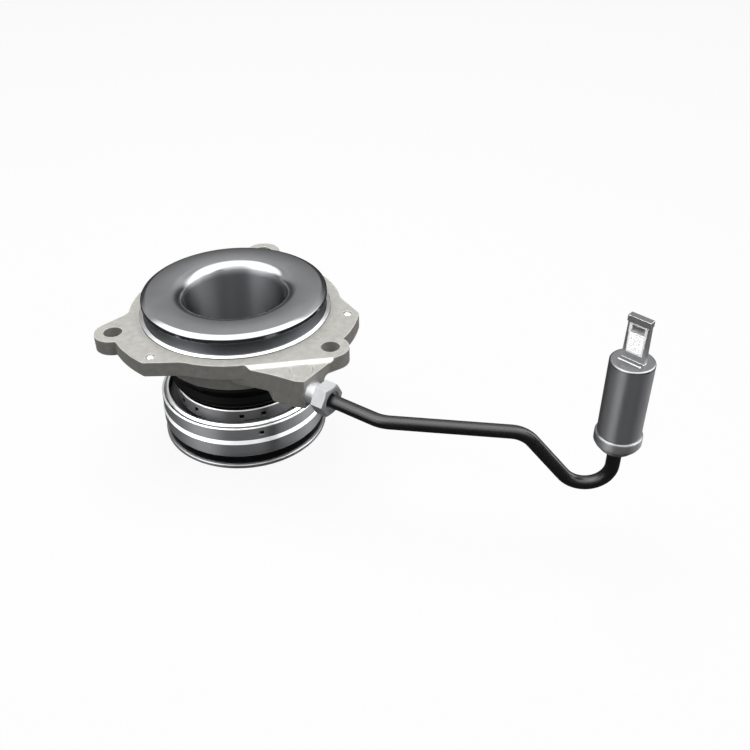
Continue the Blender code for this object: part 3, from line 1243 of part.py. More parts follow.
def make_cap(group, cutters, parent):
    grey = finish("cap_plastic", (0.19, 0.19, 0.2), 0.35, 0.2)
    roof = CAP_TOP - CAP_ROOF
    profile = [
        (0.0, CAP_TOP), (CAP_R, CAP_TOP, CAP_ROUND), (CAP_R, CAP_Z), (CAP_BORE_R, CAP_Z),
        (CAP_BORE_R, roof), (0.0, roof),
    ]
    cap = spindle("connector_cap", profile, 2 * SMALL_STEPS, grey, group, parent)
    tab_top = CAP_TOP + TAB_HEIGHT
    front = TAB_FORWARD
    back = TAB_FORWARD - TAB_WALL
    outline = trapezium(TAB_FOOT, TAB_TOP, CAP_TOP - OVERLAP, tab_top)
    tab = tab_box("tab_form", [outline], back, front, cutters, parent)
    boolean(cap, tab, "UNION")
    bar_outline = trapezium(BAR_WIDTH, BAR_WIDTH, tab_top - OVERLAP / 2, tab_top - OVERLAP / 2 + BAR_HEIGHT)
    bar = tab_box("bar_form", [bar_outline], back - OVERLAP / 4, front + BAR_OVERHANG, cutters, parent)
    boolean(cap, bar, "UNION")
    low = CAP_TOP + PAD_START
    high = low + PAD_HEIGHT
    recess_outline = trapezium(PAD_FOOT + 2 * PAD_GAP, PAD_TOP + 2 * PAD_GAP, low - PAD_GAP, high + PAD_GAP)
    recess = tab_box("pad_cutter", [recess_outline], front - PAD_SHEET - PAD_GAP, front + OVERLAP / 2, cutters, parent)
    boolean(cap, recess, "DIFFERENCE")
    shade_by_angle(cap)
    white = finish("grip_plastic", (0.85, 0.85, 0.85), 0.5, 0.0)
    sill = low + PAD_WINDOW_START
    window = trapezium(PAD_WINDOW, PAD_WINDOW, sill, sill + PAD_WINDOW_HEIGHT)
    pad = [trapezium(PAD_FOOT, PAD_TOP, low, high), window]
    tab_box("grip_pad", pad, front - PAD_SHEET, front, group, parent, white)


def make_frame(group):
    """Empties that carry the pieces: the whole part, and each moving body on its axis."""
    def empty(name, location, parent):
        item = bpy.data.objects.new(name, None)
        group.objects.link(item)
        item.location = location
        item.parent = parent
        return item

    whole = empty("actuator_axis", (AXIS_X * MM, AXIS_Y * MM, 0.0), None)
    carriage = empty("carriage_axis", (0.0, 0.0, 0.0), whole)
    cage = empty("cage_axis", (0.0, 0.0, 0.0), carriage)
    thrust = empty("thrust_axis", (0.0, 0.0, 0.0), carriage)
    cap = empty("cap_axis", (CONNECTOR_X * MM, PIPE_PLANE_Y * MM, 0.0), whole)
    return whole, carriage, cage, thrust, cap


def main():
    clear_scene()
    group = new_collection("clutch_actuator")
    cutters = new_collection("cutters")
    whole, carriage, cage, thrust, cap = make_frame(group)
    make_housing(group, cutters, whole)
    make_pins(group, whole)
    make_plug(group, whole)
    make_sleeve(group, cutters, whole)
    make_piston(group, carriage)
    make_spring(group, whole)
    make_boot(group, whole)
    make_retainer(group, cutters, carriage)
    make_plate(group, carriage)
    make_wave_washer(group, carriage)
    make_races(group, carriage, thrust)
    make_balls(group, cage)
    make_cover(group, cutters, carriage)
    make_nut(group, cutters, whole)
    make_pipe(group, whole)
    make_connector(group, whole)
    make_cap(group, cutters, cap)


main()
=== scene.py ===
# %% [markdown]
# # A hydraulic clutch actuator, dressed for its picture
# The real thing is a ring-shaped cylinder that sits round a gearbox's input shaft. A cast flange carries it,
# a pressed sleeve guides it, and a release bearing at its foot pushes the clutch's fingers.
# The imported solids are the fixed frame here. Each cell makes one piece or one finish over them.

# %% Load the frame
import math

import bmesh
import bpy
from mathutils import Matrix, Vector


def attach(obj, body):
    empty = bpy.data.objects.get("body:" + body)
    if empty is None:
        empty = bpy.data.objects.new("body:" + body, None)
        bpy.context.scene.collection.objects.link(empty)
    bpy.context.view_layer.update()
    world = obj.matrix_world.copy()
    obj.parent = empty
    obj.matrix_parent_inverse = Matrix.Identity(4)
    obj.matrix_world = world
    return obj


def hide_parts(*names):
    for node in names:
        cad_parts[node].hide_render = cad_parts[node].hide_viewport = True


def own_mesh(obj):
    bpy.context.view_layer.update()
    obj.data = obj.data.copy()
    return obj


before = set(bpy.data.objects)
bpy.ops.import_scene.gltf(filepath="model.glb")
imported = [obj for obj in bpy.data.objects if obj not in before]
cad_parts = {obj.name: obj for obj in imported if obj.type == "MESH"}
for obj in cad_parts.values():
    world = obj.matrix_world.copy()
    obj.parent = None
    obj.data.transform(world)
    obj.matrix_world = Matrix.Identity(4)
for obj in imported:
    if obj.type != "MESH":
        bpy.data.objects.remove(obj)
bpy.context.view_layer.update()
print("solids:", len(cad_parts))

# %% [markdown]
# ## Camera
# The photograph looks down at about 35 degrees with a normal lens. The camera's place was solved from the
# ellipses of the collar and the bolt circle, so the model falls on the photograph without any shift.

# %% Camera at the photograph's place
SENSOR = 36.0
VIEW_ANGLE = 45.0                      # degrees across the picture
CAMERA_PLACE = (0.0483, -0.35601, 0.28776)
CAMERA_TILT, CAMERA_TURN = 54.93, 6.9

lens = bpy.data.cameras.new("photo_camera")
lens.sensor_width = SENSOR
lens.lens = SENSOR / 2 / math.tan(math.radians(VIEW_ANGLE / 2))
camera = bpy.data.objects.new("photo_camera", lens)
bpy.context.scene.collection.objects.link(camera)
camera.location = CAMERA_PLACE
camera.rotation_euler = (math.radians(CAMERA_TILT), 0.0, math.radians(CAMERA_TURN))
bpy.context.scene.camera = camera
print("camera height above the floor, mm:", round(camera.location.z * 1000, 1))

# %% [markdown]
# ## Building by a turned section
# Almost every piece of the actuator is round: drawn, turned or moulded about one axis. A lathe makes them
# from half a section. Here a closed outline of (radius, height) is swept by a Screw modifier, and each corner
# gets a small arc, because a real edge is never sharp and the arc is what catches the light.

# %% Millimetres, the axis, and rounded outlines
MM = 0.001
AXIS_X, AXIS_Y = -62.135, 5.2          # the cylinder's axis in the frame
AT_AXIS = (AXIS_X, AXIS_Y, 0.0)
ORIGIN = (0.0, 0.0)                    # forms drawn about the origin are moved to the axis later
FINE_STEPS, SMALL_STEPS = 144, 72      # facets of a large ring and of a small one
LONGEST_REACH = 0.45                   # the most of a side that an arc may take
NEARLY_STRAIGHT = 88.0                 # a corner whose half angle is wider gets no arc


def polar(radius, turn, height=0.0):
    """A point round the cylinder's axis, in millimetres."""
    angle = math.radians(turn)
    return Vector((radius * math.cos(angle), radius * math.sin(angle), height))


def turn_of(x, y):
    """The direction of a point, in degrees."""
    return math.degrees(math.atan2(y, x))


def tangent_arc(corner, to_before, to_after, reach, step, least=2):
    """Points of the arc that touches both sides of a corner at a reach from it."""
    half = to_before.angle(to_after) / 2
    radius = reach * math.tan(half)
    to_before, to_after = to_before.normalized(), to_after.normalized()
    centre = corner + (to_before + to_after).normalized() * radius / math.sin(half)
    first = (corner + to_before * reach - centre).normalized()
    last = (corner + to_after * reach - centre).normalized()
    count = max(least, math.ceil(math.degrees(math.pi - 2 * half) / step))
    return [centre + first.slerp(last, k / count) * radius for k in range(count + 1)]


def arc(before, corner, after, radius, step=15.0):
    """Points that round one corner of an outline, as far as its sides leave room."""
    to_before, to_after = before - corner, after - corner
    half = to_before.angle(to_after) / 2
    if radius <= 0.0 or half > math.radians(NEARLY_STRAIGHT):
        return [corner]
    room = LONGEST_REACH * min(to_before.length, to_after.length)
    return tangent_arc(corner, to_before, to_after, min(radius / math.tan(half), room), step)


def softened(corners, edge=0.0, closed=True, step=15.0):
    """An outline whose corners are rounded by their own third number, or by edge."""
    spots = [Vector(corner[:2]) for corner in corners]
    points = []
    for k, corner in enumerate(corners):
        if not closed and k in (0, len(corners) - 1):
            points.append(spots[k])
            continue
        radius = corner[2] if len(corner) == 3 else edge
        points += arc(spots[k - 1], spots[k], spots[(k + 1) % len(spots)], radius, step)
    return points


print("axis of the cylinder, mm:", AXIS_X, AXIS_Y)

# %% Turning, extruding and putting in place
def shown(item):
    """The mesh an object shows, modifiers included, in place of the object."""
    bpy.context.view_layer.update()
    graph = bpy.context.evaluated_depsgraph_get()
    mesh = bpy.data.meshes.new_from_object(item.evaluated_get(graph), depsgraph=graph)
    mesh.transform(item.matrix_world)
    bpy.data.objects.remove(item, do_unlink=True)
    return mesh


def new_object(name, data):
    item = bpy.data.objects.new(name, data)
    bpy.context.scene.collection.objects.link(item)
    return item


def cleaned(mesh):
    """Doubles merged and faces turned outwards."""
    work = bmesh.new()
    work.from_mesh(mesh)
    bmesh.ops.remove_doubles(work, verts=work.verts, dist=0.002 * MM)
    bmesh.ops.recalc_face_normals(work, faces=work.faces)
    work.to_mesh(mesh)
    work.free()
    return mesh


def moved(mesh, place):
    """The mesh after a move in millimetres."""
    mesh.transform(Matrix.Translation([length * MM for length in place]))
    return mesh


def turned_mesh(name, corners, edge=0.25, steps=FINE_STEPS, closed=True, centre=(AXIS_X, AXIS_Y)):
    """A ring, or a solid whose open outline starts and ends on the axis, turned about an upright axis."""
    points = softened(corners, edge, closed)
    mesh = bpy.data.meshes.new(name)
    count = len(points) if closed else len(points) - 1
    mesh.from_pydata([(point.x * MM, 0.0, point.y * MM) for point in points],
                     [(k, (k + 1) % len(points)) for k in range(count)], [])
    item = new_object(name, mesh)
    screw = item.modifiers.new("turn", "SCREW")
    screw.steps = screw.render_steps = steps
    screw.use_merge_vertices = True
    screw.merge_threshold = 0.005 * MM
    return moved(cleaned(shown(item)), (*centre, 0.0))


def plate_mesh(name, outlines, low, high):
    """A plate from outlines seen from above; an outline inside another is a hole."""
    curve = bpy.data.curves.new(name, "CURVE")
    curve.dimensions = "2D"
    curve.fill_mode = "BOTH"
    curve.extrude = (high - low) / 2 * MM
    for outline in outlines:
        spline = curve.splines.new("POLY")
        spline.points.add(len(outline) - 1)
        for spot, point in zip(spline.points, outline):
            spot.co = (point[0] * MM, point[1] * MM, 0.0, 1.0)
        spline.use_cyclic_u = True
    return moved(cleaned(shown(new_object(name, curve))), (0.0, 0.0, (low + high) / 2))


def combined(mesh, tools):
    """A mesh after its Boolean steps, given as (tool mesh, operation)."""
    item = new_object(mesh.name, mesh)
    helpers = []
    for tool, operation in tools:
        helper = new_object(tool.name, tool)
        step = item.modifiers.new(operation.lower(), "BOOLEAN")
        step.operation = operation
        step.solver = "EXACT"
        step.object = helper
        helpers.append(helper)
    result = shown(item)
    for helper in helpers:
        bpy.data.objects.remove(helper, do_unlink=True)
    return result


def drill_cut(radius, start, end, steps=48):
    """A round cut between two points in millimetres."""
    start = Vector(start)
    run = Vector(end) - start
    work = bmesh.new()
    bmesh.ops.create_cone(work, cap_ends=True, segments=steps, radius1=radius * MM, radius2=radius * MM,
                          depth=run.length * MM)
    mesh = bpy.data.meshes.new("drill")
    work.to_mesh(mesh)
    work.free()
    mesh.transform(Matrix.Translation((start + run / 2) * MM) @ run.to_track_quat("Z", "Y").to_matrix().to_4x4())
    return mesh, "DIFFERENCE"


def hole(radius, spot, low, high, steps):
    """An upright round cut."""
    return drill_cut(radius, (spot[0], spot[1], low), (spot[0], spot[1], high), steps)


def block_mesh(size, centre, turn=0.0):
    work = bmesh.new()
    bmesh.ops.create_cube(work, size=1.0)
    mesh = bpy.data.meshes.new("block")
    work.to_mesh(mesh)
    work.free()
    mesh.transform(Matrix.Diagonal((size[0] * MM, size[1] * MM, size[2] * MM, 1.0)))
    mesh.transform(Matrix.Rotation(math.radians(turn), 4, "Z"))
    mesh.transform(Matrix.Translation(Vector(centre) * MM))
    return mesh


def window_cut(size, radius, turn, height):
    """A box that cuts a window through a ring."""
    return block_mesh(size, polar(radius, turn, height) + Vector(AT_AXIS), turn), "DIFFERENCE"


def finish_piece(name, mesh, material, body, nodes, sharp=32.0):
    """Makes the object, shades it, parents it to its body's empty, and hides the solids that it stands for."""
    mesh.name = name
    mesh.materials.clear()
    mesh.materials.append(material)
    if sharp:
        mesh.shade_smooth()
        mesh.set_sharp_from_angle(angle=math.radians(sharp))
    item = new_object(name, mesh)
    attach(item, body)
    if nodes:
        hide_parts(*nodes)
    print(name, len(mesh.polygons), "faces")
    return item


def paint(item, *finishes):
    """Other finishes for some faces: materials with a test of a face's place from the axis and its normal."""
    for material, chosen in finishes:
        item.data.materials.append(material)
        for face in item.data.polygons:
            if chosen(face.center / MM - Vector(AT_AXIS), face.normal):
                face.material_index = len(item.data.materials) - 1


# %% [markdown]
# ## Shared effects
# Turned steel shows fine rings about its axis, cast aluminium a grain and soft blotches, and every edge is a
# little rounded, some with a painted highlight along it. Each effect is one node group, placed in the materials with
# its own values.

# %% Helpers for node trees
def put(tree, socket, value):
    """Links an output to a socket, or sets the socket to a plain value."""
    if isinstance(value, bpy.types.NodeSocket):
        tree.links.new(value, socket)
    else:
        socket.default_value = value


def add_node(tree, kind, **values):
    """A node whose named inputs are set or linked, with spaces in their names written as underscores."""
    item = tree.nodes.new(kind)
    for key, value in values.items():
        put(tree, item.inputs[key.replace("_", " ")], value)
    return item


def math_node(tree, operation, *values):
    item = tree.nodes.new("ShaderNodeMath")
    item.operation = operation
    for socket, value in zip(item.inputs, values):
        put(tree, socket, value)
    return item.outputs[0]


def vector_node(tree, operation, first, second):
    item = tree.nodes.new("ShaderNodeVectorMath")
    item.operation = operation
    put(tree, item.inputs[0], first)
    put(tree, item.inputs[1], second)
    return item.outputs["Value" if operation == "DOT_PRODUCT" else "Vector"]


def ramped(tree, value, low, high, to_low=0.0, to_high=1.0, smooth=False):
    """A value mapped from one range to another."""
    item = add_node(tree, "ShaderNodeMapRange", Value=value, From_Min=low, From_Max=high, To_Min=to_low,
                    To_Max=to_high)
    item.interpolation_type = "SMOOTHSTEP" if smooth else "LINEAR"
    return item.outputs["Result"]


def blended(tree, share, first, second):
    """A colour between two others."""
    item = tree.nodes.new("ShaderNodeMix")
    item.data_type = "RGBA"
    for place, value in ((0, share), (6, first), (7, second)):
        put(tree, item.inputs[place], value)
    return item.outputs[2]


def new_group(name, inputs, outputs):
    group = bpy.data.node_groups.new(name, "ShaderNodeTree")
    for title, kind, value in inputs:
        group.interface.new_socket(title, in_out="INPUT", socket_type=kind).default_value = value
    for title, kind in outputs:
        group.interface.new_socket(title, in_out="OUTPUT", socket_type=kind)
    return group, group.nodes.new("NodeGroupInput").outputs, group.nodes.new("NodeGroupOutput").inputs


def placed(tree, group, settings):
    item = tree.nodes.new("ShaderNodeGroup")
    item.node_tree = group
    for key, value in settings.items():
        item.inputs[key].default_value = value
    return item.outputs


# %% Turning marks: rings about an upright axis
FLOAT, VECTOR = "NodeSocketFloat", "NodeSocketVector"
turning, given, made = new_group(
    "turning_marks",
    [("Centre", VECTOR, (AXIS_X * MM, AXIS_Y * MM, 0.0)), ("Lines per Metre", FLOAT, 6000.0), ("Drift", FLOAT, 0.02)],
    [("Height", FLOAT), ("Tone", FLOAT)],
)
where = add_node(turning, "ShaderNodeTexCoord").outputs["Object"]
away = vector_node(turning, "SUBTRACT", where, given["Centre"])
x, y, z = add_node(turning, "ShaderNodeSeparateXYZ", Vector=away).outputs
square_x = math_node(turning, "POWER", x, 2.0)
square_y = math_node(turning, "POWER", y, 2.0)
radius_now = math_node(turning, "SQRT", math_node(turning, "ADD", square_x, square_y))
drifting = math_node(turning, "MULTIPLY", math_node(turning, "ARCTAN2", y, x), given["Drift"])
drift_small = math_node(turning, "MULTIPLY", drifting, MM)
rings = add_node(turning, "ShaderNodeCombineXYZ", X=radius_now, Y=z, Z=drift_small).outputs[0]
fine_rings = add_node(turning, "ShaderNodeTexNoise", Vector=rings, Scale=given["Lines per Metre"], Detail=3.0,
                      Roughness=0.6)
cloud = add_node(turning, "ShaderNodeTexNoise", Vector=where, Scale=90.0, Detail=4.0)
put(turning, made["Height"], fine_rings.outputs["Fac"])
put(turning, made["Tone"], cloud.outputs["Fac"])
print("group:", turning.name)

# %% Casting grain: fine bumps with wider soft blotches
grain, given, made = new_group(
    "casting_grain",
    [("Grain Scale", FLOAT, 1800.0), ("Blotch Scale", FLOAT, 70.0)],
    [("Height", FLOAT), ("Tone", FLOAT)],
)
where = add_node(grain, "ShaderNodeTexCoord").outputs["Object"]
fine = add_node(grain, "ShaderNodeTexNoise", Vector=where, Scale=given["Grain Scale"], Detail=5.0, Roughness=0.65)
blotch = add_node(grain, "ShaderNodeTexNoise", Vector=where, Scale=given["Blotch Scale"], Detail=6.0,
                  Roughness=0.55, Distortion=0.6)
put(grain, made["Height"], fine.outputs["Fac"])
put(grain, made["Tone"], blotch.outputs["Fac"])
print("group:", grain.name)

# %% Rounded edges: a normal that bends over every edge, and a mask of where it does
MASK_GAIN = 6.0
edges, given, made = new_group(
    "rounded_edges", [("Radius", FLOAT, 0.0004)], [("Normal", VECTOR), ("Edge", FLOAT)],
)
over = add_node(edges, "ShaderNodeBevel", Radius=given["Radius"])
over.samples = 6
true = add_node(edges, "ShaderNodeNewGeometry").outputs["Normal"]
alike = vector_node(edges, "DOT_PRODUCT", over.outputs["Normal"], true)
# The mask also places the painted edge highlights.
mask = math_node(edges, "MULTIPLY", math_node(edges, "SUBTRACT", 1.0, alike), MASK_GAIN)
put(edges, made["Normal"], over.outputs["Normal"])
put(edges, made["Edge"], math_node(edges, "MINIMUM", mask, 1.0))
print("group:", edges.name)


# %% A material built from the shared effects
def surface(name, color, second, roughness, metallic, effect=None, settings=None, bump=0.1, depth=0.00005,
            rough_swing=0.08, edge=0.0, painted_edge_highlight=None, mix=0.5, brushed=0.0, centre=(AXIS_X, AXIS_Y), specular=None):
    """A Principled material whose colour and roughness drift with an effect's tone, and whose bump is its height.

    A brushed one spreads its reflections across marks that run round the centre, so that a turned wall shows
    the upright streaks of the photograph. Its tangent is the direction round the centre."""
    material = bpy.data.materials.new(name)
    material.use_nodes = True
    material.diffuse_color = (*color, 1.0)
    tree = material.node_tree
    shader = tree.nodes["Principled BSDF"].inputs
    put(tree, shader["Base Color"], (*color, 1.0))
    put(tree, shader["Roughness"], roughness)
    put(tree, shader["Metallic"], metallic)
    if specular is not None:
        put(tree, shader["Specular IOR Level"], specular)
    if brushed:
        put(tree, shader["Anisotropic"], brushed)
        put(tree, shader["Anisotropic Rotation"], 0.25)
        where = add_node(tree, "ShaderNodeTexCoord").outputs["Object"]
        away = vector_node(tree, "SUBTRACT", where, (centre[0] * MM, centre[1] * MM, 0.0))
        put(tree, shader["Tangent"], vector_node(tree, "CROSS_PRODUCT", (0.0, 0.0, 1.0), away))
    if effect is None:
        return material
    source = placed(tree, effect, settings or {})
    tone = source["Tone"]
    base = blended(tree, ramped(tree, tone, 0.5 - mix / 2, 0.5 + mix / 2), (*color, 1.0), (*second, 1.0))
    raised = add_node(tree, "ShaderNodeBump", Strength=bump, Distance=depth, Height=source["Height"])
    if edge:
        soft = placed(tree, edges, {"Radius": edge})
        put(tree, raised.inputs["Normal"], soft["Normal"])
        # Painted highlight: the colour turns to a pale tint where the edges' mask is high.
        base = blended(tree, soft["Edge"], base, (*painted_edge_highlight, 1.0))
    put(tree, shader["Base Color"], base)
    put(tree, shader["Roughness"], ramped(tree, tone, 0.25, 0.75, roughness - rough_swing, roughness + rough_swing))
    put(tree, shader["Normal"], raised.outputs["Normal"])
    return material


def turned_steel(name, color, second, roughness, bump, brushed, rough_swing=0.02):
    return surface(name, color, second, roughness, 1.0, turning, RINGS, bump, rough_swing=rough_swing,
                   brushed=brushed)


# %% Finishes of the metal pieces
RINGS = {"Lines per Metre": 9000.0}
# The casting's pale edge tint is a painted highlight along its rolled edges.
aluminium = surface("cast_aluminium", (0.47, 0.46, 0.43), (0.36, 0.353, 0.33), 0.55, 0.12, grain,
                    {"Grain Scale": 2600.0, "Blotch Scale": 300.0}, 0.5, 0.00006, 0.05, 0.0007,
                    painted_edge_highlight=(0.9, 0.89, 0.86), mix=0.4)
sleeve_steel = turned_steel("sleeve_steel", (0.25, 0.253, 0.26), (0.225, 0.228, 0.234), 0.22, 0.03, 0.3, 0.03)
# The skirt's copy of the sleeve's steel is darker: painted shade on the sleeve's wall.
skirt_steel = turned_steel("skirt_steel", (0.1, 0.102, 0.11), (0.085, 0.087, 0.093), 0.34, 0.02, 1.0)
cover_steel = turned_steel("cover_steel", (0.27, 0.273, 0.28), (0.22, 0.223, 0.23), 0.38, 0.04, 1.0)
retainer_steel = turned_steel("retainer_steel", (0.21, 0.212, 0.218), (0.17, 0.172, 0.178), 0.36, 0.04, 1.0)
plate_steel = turned_steel("plate_steel", (0.6, 0.602, 0.607), (0.5, 0.502, 0.507), 0.3, 0.03, 0.3, 0.08)
race_steel = turned_steel("race_steel", (0.3, 0.303, 0.31), (0.25, 0.253, 0.26), 0.35, 0.04, 0.9)
# The bore's copy of the sleeve's steel is darker: painted shade inside the bore.
bore_steel = turned_steel("bore_steel", (0.19, 0.192, 0.2), (0.175, 0.177, 0.185), 0.33, 0.0, 1.0, 0.01)
# A near-white copy of the steel, laid on narrow bands as a painted highlight.
painted_highlight_band = turned_steel("polished_band", (0.98, 0.98, 0.98), (0.95, 0.95, 0.95), 0.65, 0.0, 1.0, 0.01)
# Near-black copy for the plate's recessed flat: painted shade.
annulus_steel = surface("annulus_steel", (0.05, 0.05, 0.052), None, 0.5, 1.0)
# Milled aluminium for the step's facet, also laid on the rolled edges past it as a painted highlight.
milled_and_highlight = surface("milled_aluminium", (0.9, 0.895, 0.87), None, 0.4, 0.7)
pin_steel = surface("pin_steel", (0.95, 0.95, 0.95), None, 0.35, 0.5)
zinc = surface("zinc_plate", (0.58, 0.585, 0.6), (0.5, 0.505, 0.52), 0.45, 0.25, grain,
               {"Grain Scale": 3500.0, "Blotch Scale": 300.0}, 0.04, 0.00002, 0.04)
ball_steel = surface("ball_steel", (0.8, 0.8, 0.82), (0.76, 0.76, 0.78), 0.08, 1.0, grain, bump=0.01,
                     rough_swing=0.02)
alloy = surface("piston_alloy", (0.66, 0.67, 0.68), (0.6, 0.61, 0.62), 0.3, 1.0, turning, RINGS)
spring_steel = surface("spring_steel", (0.25, 0.25, 0.27), (0.2, 0.2, 0.21), 0.35, 1.0, grain)
brass = surface("olive_brass", (0.72, 0.58, 0.32), (0.62, 0.48, 0.26), 0.3, 1.0, turning, RINGS)

# %% Finishes of rubber, coating and plastic
LINE_X, LINE_Y = 173.4, -67.3          # the connector's axis, from the cylinder's
LINE_AXIS = (LINE_X + AXIS_X, LINE_Y + AXIS_Y)
MOULDED = {"Grain Scale": 3200.0, "Blotch Scale": 200.0}
rubber = surface("boot_rubber", (0.004, 0.004, 0.0045), (0.007, 0.007, 0.0075), 0.45, 0.0, grain,
                 {"Grain Scale": 2600.0, "Blotch Scale": 160.0}, 0.15, 0.00004, 0.06, specular=0.03)
seal_rubber = surface("seal_rubber", (0.005, 0.005, 0.005), (0.008, 0.008, 0.008), 0.4, 0.0, grain, specular=0.05)
coating = surface("pipe_coating", (0.012, 0.012, 0.013), (0.018, 0.018, 0.019), 0.3, 0.0, grain,
                  {"Grain Scale": 700.0, "Blotch Scale": 220.0}, 0.08, rough_swing=0.04, specular=0.42)
# The cap's and the tab's pale edge tints are painted highlights.
cap_plastic = surface("cap_plastic", (0.21, 0.211, 0.216), (0.19, 0.191, 0.196), 0.3, 0.9, grain, MOULDED, 0.03,
                      0.00003, 0.03, 0.0003, painted_edge_highlight=(0.7, 0.7, 0.7))
# The tab's copy of the cap's plastic is lighter and less metallic: painted light on the tab's faces.
tab_plastic = surface("tab_plastic", (0.46, 0.462, 0.467), (0.42, 0.422, 0.427), 0.35, 0.3, grain, MOULDED, 0.03,
                      0.00003, 0.03, 0.0003, painted_edge_highlight=(0.95, 0.95, 0.95))
cap_wall = surface("cap_wall", (0.25, 0.252, 0.26), (0.235, 0.237, 0.244), 0.33, 0.9, grain, MOULDED, 0.02,
                   0.00002, 0.02, brushed=1.0, centre=LINE_AXIS)
connector_plastic = surface("connector_plastic", (0.27, 0.272, 0.28), (0.25, 0.252, 0.26), 0.36, 0.9, grain,
                            MOULDED, 0.03, 0.00003, 0.03, brushed=1.0, centre=LINE_AXIS)
pad_white = surface("grip_plastic", (0.98, 0.98, 0.98), (0.95, 0.95, 0.95), 0.7, 0.9, grain, bump=0.0)
cage_plastic = surface("cage_plastic", (0.68, 0.62, 0.46), (0.6, 0.54, 0.4), 0.5, 0.0, grain)
print("materials:", len(bpy.data.materials))

# %% [markdown]
# ## Guide sleeve
# One pressed steel tube: a bore for the shaft, a flared mouth, a flat collar with a narrow cone for its
# shoulder, and a skirt that ends in a small flared foot on the casting. The flare carries a broad white
# reflection in the photograph, so its arc is true and finely divided.

# %% The sleeve's section
SLEEVE = [
    (23.6, 76.8, 6.2), (41.1, 76.8, 1.4), (43.5, 75.5, 0.6), (43.6, 73.6, 0.5), (42.8, 72.9, 0.6), (42.8, 67.3, 0.5),
    (45.0, 67.1, 0.3), (45.0, 65.9, 0.2), (41.5, 65.9, 0.4), (41.5, 75.5, 0.4), (24.9, 75.5, 4.9),
    (24.9, 19.05), (24.4, 19.05), (24.4, 17.25), (24.9, 17.25), (24.9, 14.5), (23.6, 14.5),
]
sleeve = finish_piece("guide_sleeve_pressing", turned_mesh("sleeve", SLEEVE, 0.12), sleeve_steel,
                      "cylinder_body", ["guide_sleeve"])
# Painted shade: the bore and the skirt get darker copies of the sleeve's steel. Painted highlight: a near-white band
# round the flared foot.
paint(sleeve,
      (bore_steel, lambda place, normal: place.xy.length < 24.7),
      (skirt_steel, lambda place, normal: 42.5 < place.xy.length < 43.2 and place.z < 73.0),
      (painted_highlight_band, lambda place, normal: place.xy.length > 43.7 and 66.8 < place.z < 67.4))

# %% [markdown]
# ## Release bearing and its carrier
# From the thrust face up: a ground thrust ring, a black lip seal, a cover pressed from sheet with a rolled
# foot, a straight band, a bevel with a painted highlight and a cone, and inside it the carrier plate with its raised
# bead.

# %% Thrust ring, races, seal, cover and plate
THRUST = [
    (30.56, 6.2), (31.6, 5.25), (33.3, 4.8), (35.0, 5.25), (36.04, 6.2), (37.0, 6.2, 0.3), (37.0, 2.1, 0.3),
    (40.7, 2.1, 0.55), (40.7, 0.0, 0.5), (28.6, 0.0, 0.5), (28.6, 2.1, 0.3), (29.6, 2.1, 0.2), (29.6, 6.2, 0.3),
]
finish_piece("thrust_ring_turned", turned_mesh("thrust", THRUST), race_steel, "thrust_face_ring",
             ["thrust_ring"])
RACE = [
    (30.56, 11.0), (31.6, 11.95), (33.3, 12.4), (35.0, 11.95), (36.04, 11.0), (39.3, 11.0, 0.3), (39.3, 14.0, 0.5),
    (38.1, 16.4, 0.5), (29.3, 16.4, 0.5), (29.3, 11.0, 0.3),
]
finish_piece("upper_race_turned", turned_mesh("race", RACE), race_steel, "release_carriage",
             ["upper_race"])
SEAL = [(37.3, 7.5), (38.9, 7.5), (38.9, 6.6), (39.6, 6.2, 0.4), (39.6, 2.6, 0.4), (37.3, 2.4)]
finish_piece("bearing_lip_seal", turned_mesh("seal", SEAL), seal_rubber, "release_carriage",
             ["bearing_seal"])
COVER = [
    (39.3, 23.8, 0.35), (40.4, 23.8, 0.45), (40.35, 16.95, 0.1), (40.75, 14.75, 0.15), (40.65, 14.3, 0.2),
    (40.65, 9.2, 0.2), (40.3, 9.2, 0.1), (40.3, 7.1, 0.45), (39.2, 7.1, 0.3), (39.2, 9.2), (39.6, 9.6), (39.6, 14.5),
    (39.3, 16.6),
]
holes = [window_cut((8.4, 2.4, 2.5), 39.9, -64.6 + 120.0 * k, 20.2) for k in range(3)]
cover = finish_piece("bearing_cover_pressing", combined(turned_mesh("cover", COVER, 0.1), holes), cover_steel,
                     "release_carriage", ["bearing_cover"])
# Painted highlight: a near-white band on the cover's top rim and on its bevel.
paint(cover, (painted_highlight_band, lambda place, normal: place.z > 23.4 or (place.xy.length > 40.0
                                                                    and 14.8 < place.z < 17.0)))
PLATE = [
    (25.2, 19.2), (25.2, 20.4), (36.8, 20.4, 0.4), (36.8, 25.08, 0.3), (37.85, 25.08, 0.1), (38.8, 24.15, 0.1),
    (38.9, 19.2, 0.3),
]
plate = finish_piece("carrier_plate_pressing", combined(turned_mesh("plate", PLATE, 0.15), holes), plate_steel,
                     "release_carriage", ["carrier_plate"])
# Painted shade: the plate's flat inside its bead is near-black.
paint(plate, (annulus_steel, lambda place, normal: place.xy.length < 36.9 and place.z < 24.7))

# %% The boot's retainer, with its lanced clips
RETAINER = [
    (31.7, 28.7, 0.3), (32.6, 28.7, 0.3), (32.6, 20.7, 1.1), (25.5, 20.7, 0.2), (25.5, 21.6, 0.2), (31.7, 21.6, 0.4),
]
CLIP = 32.15                           # radius of the clips
clip_cuts = []
for k in range(6):
    turn = -68.3 + 60.0 * k
    clip_cuts += [window_cut((3.6, 2.3, 2.4), CLIP, turn + side, 25.2) for side in (-9.3, 9.3)]
    clip_cuts.append(window_cut((3.6, 7.8, 1.1), CLIP, turn, 22.6))
retainer = finish_piece("boot_retainer_pressing", combined(turned_mesh("retainer", RETAINER, 0.1), clip_cuts),
                        retainer_steel, "release_carriage", ["boot_retainer"])
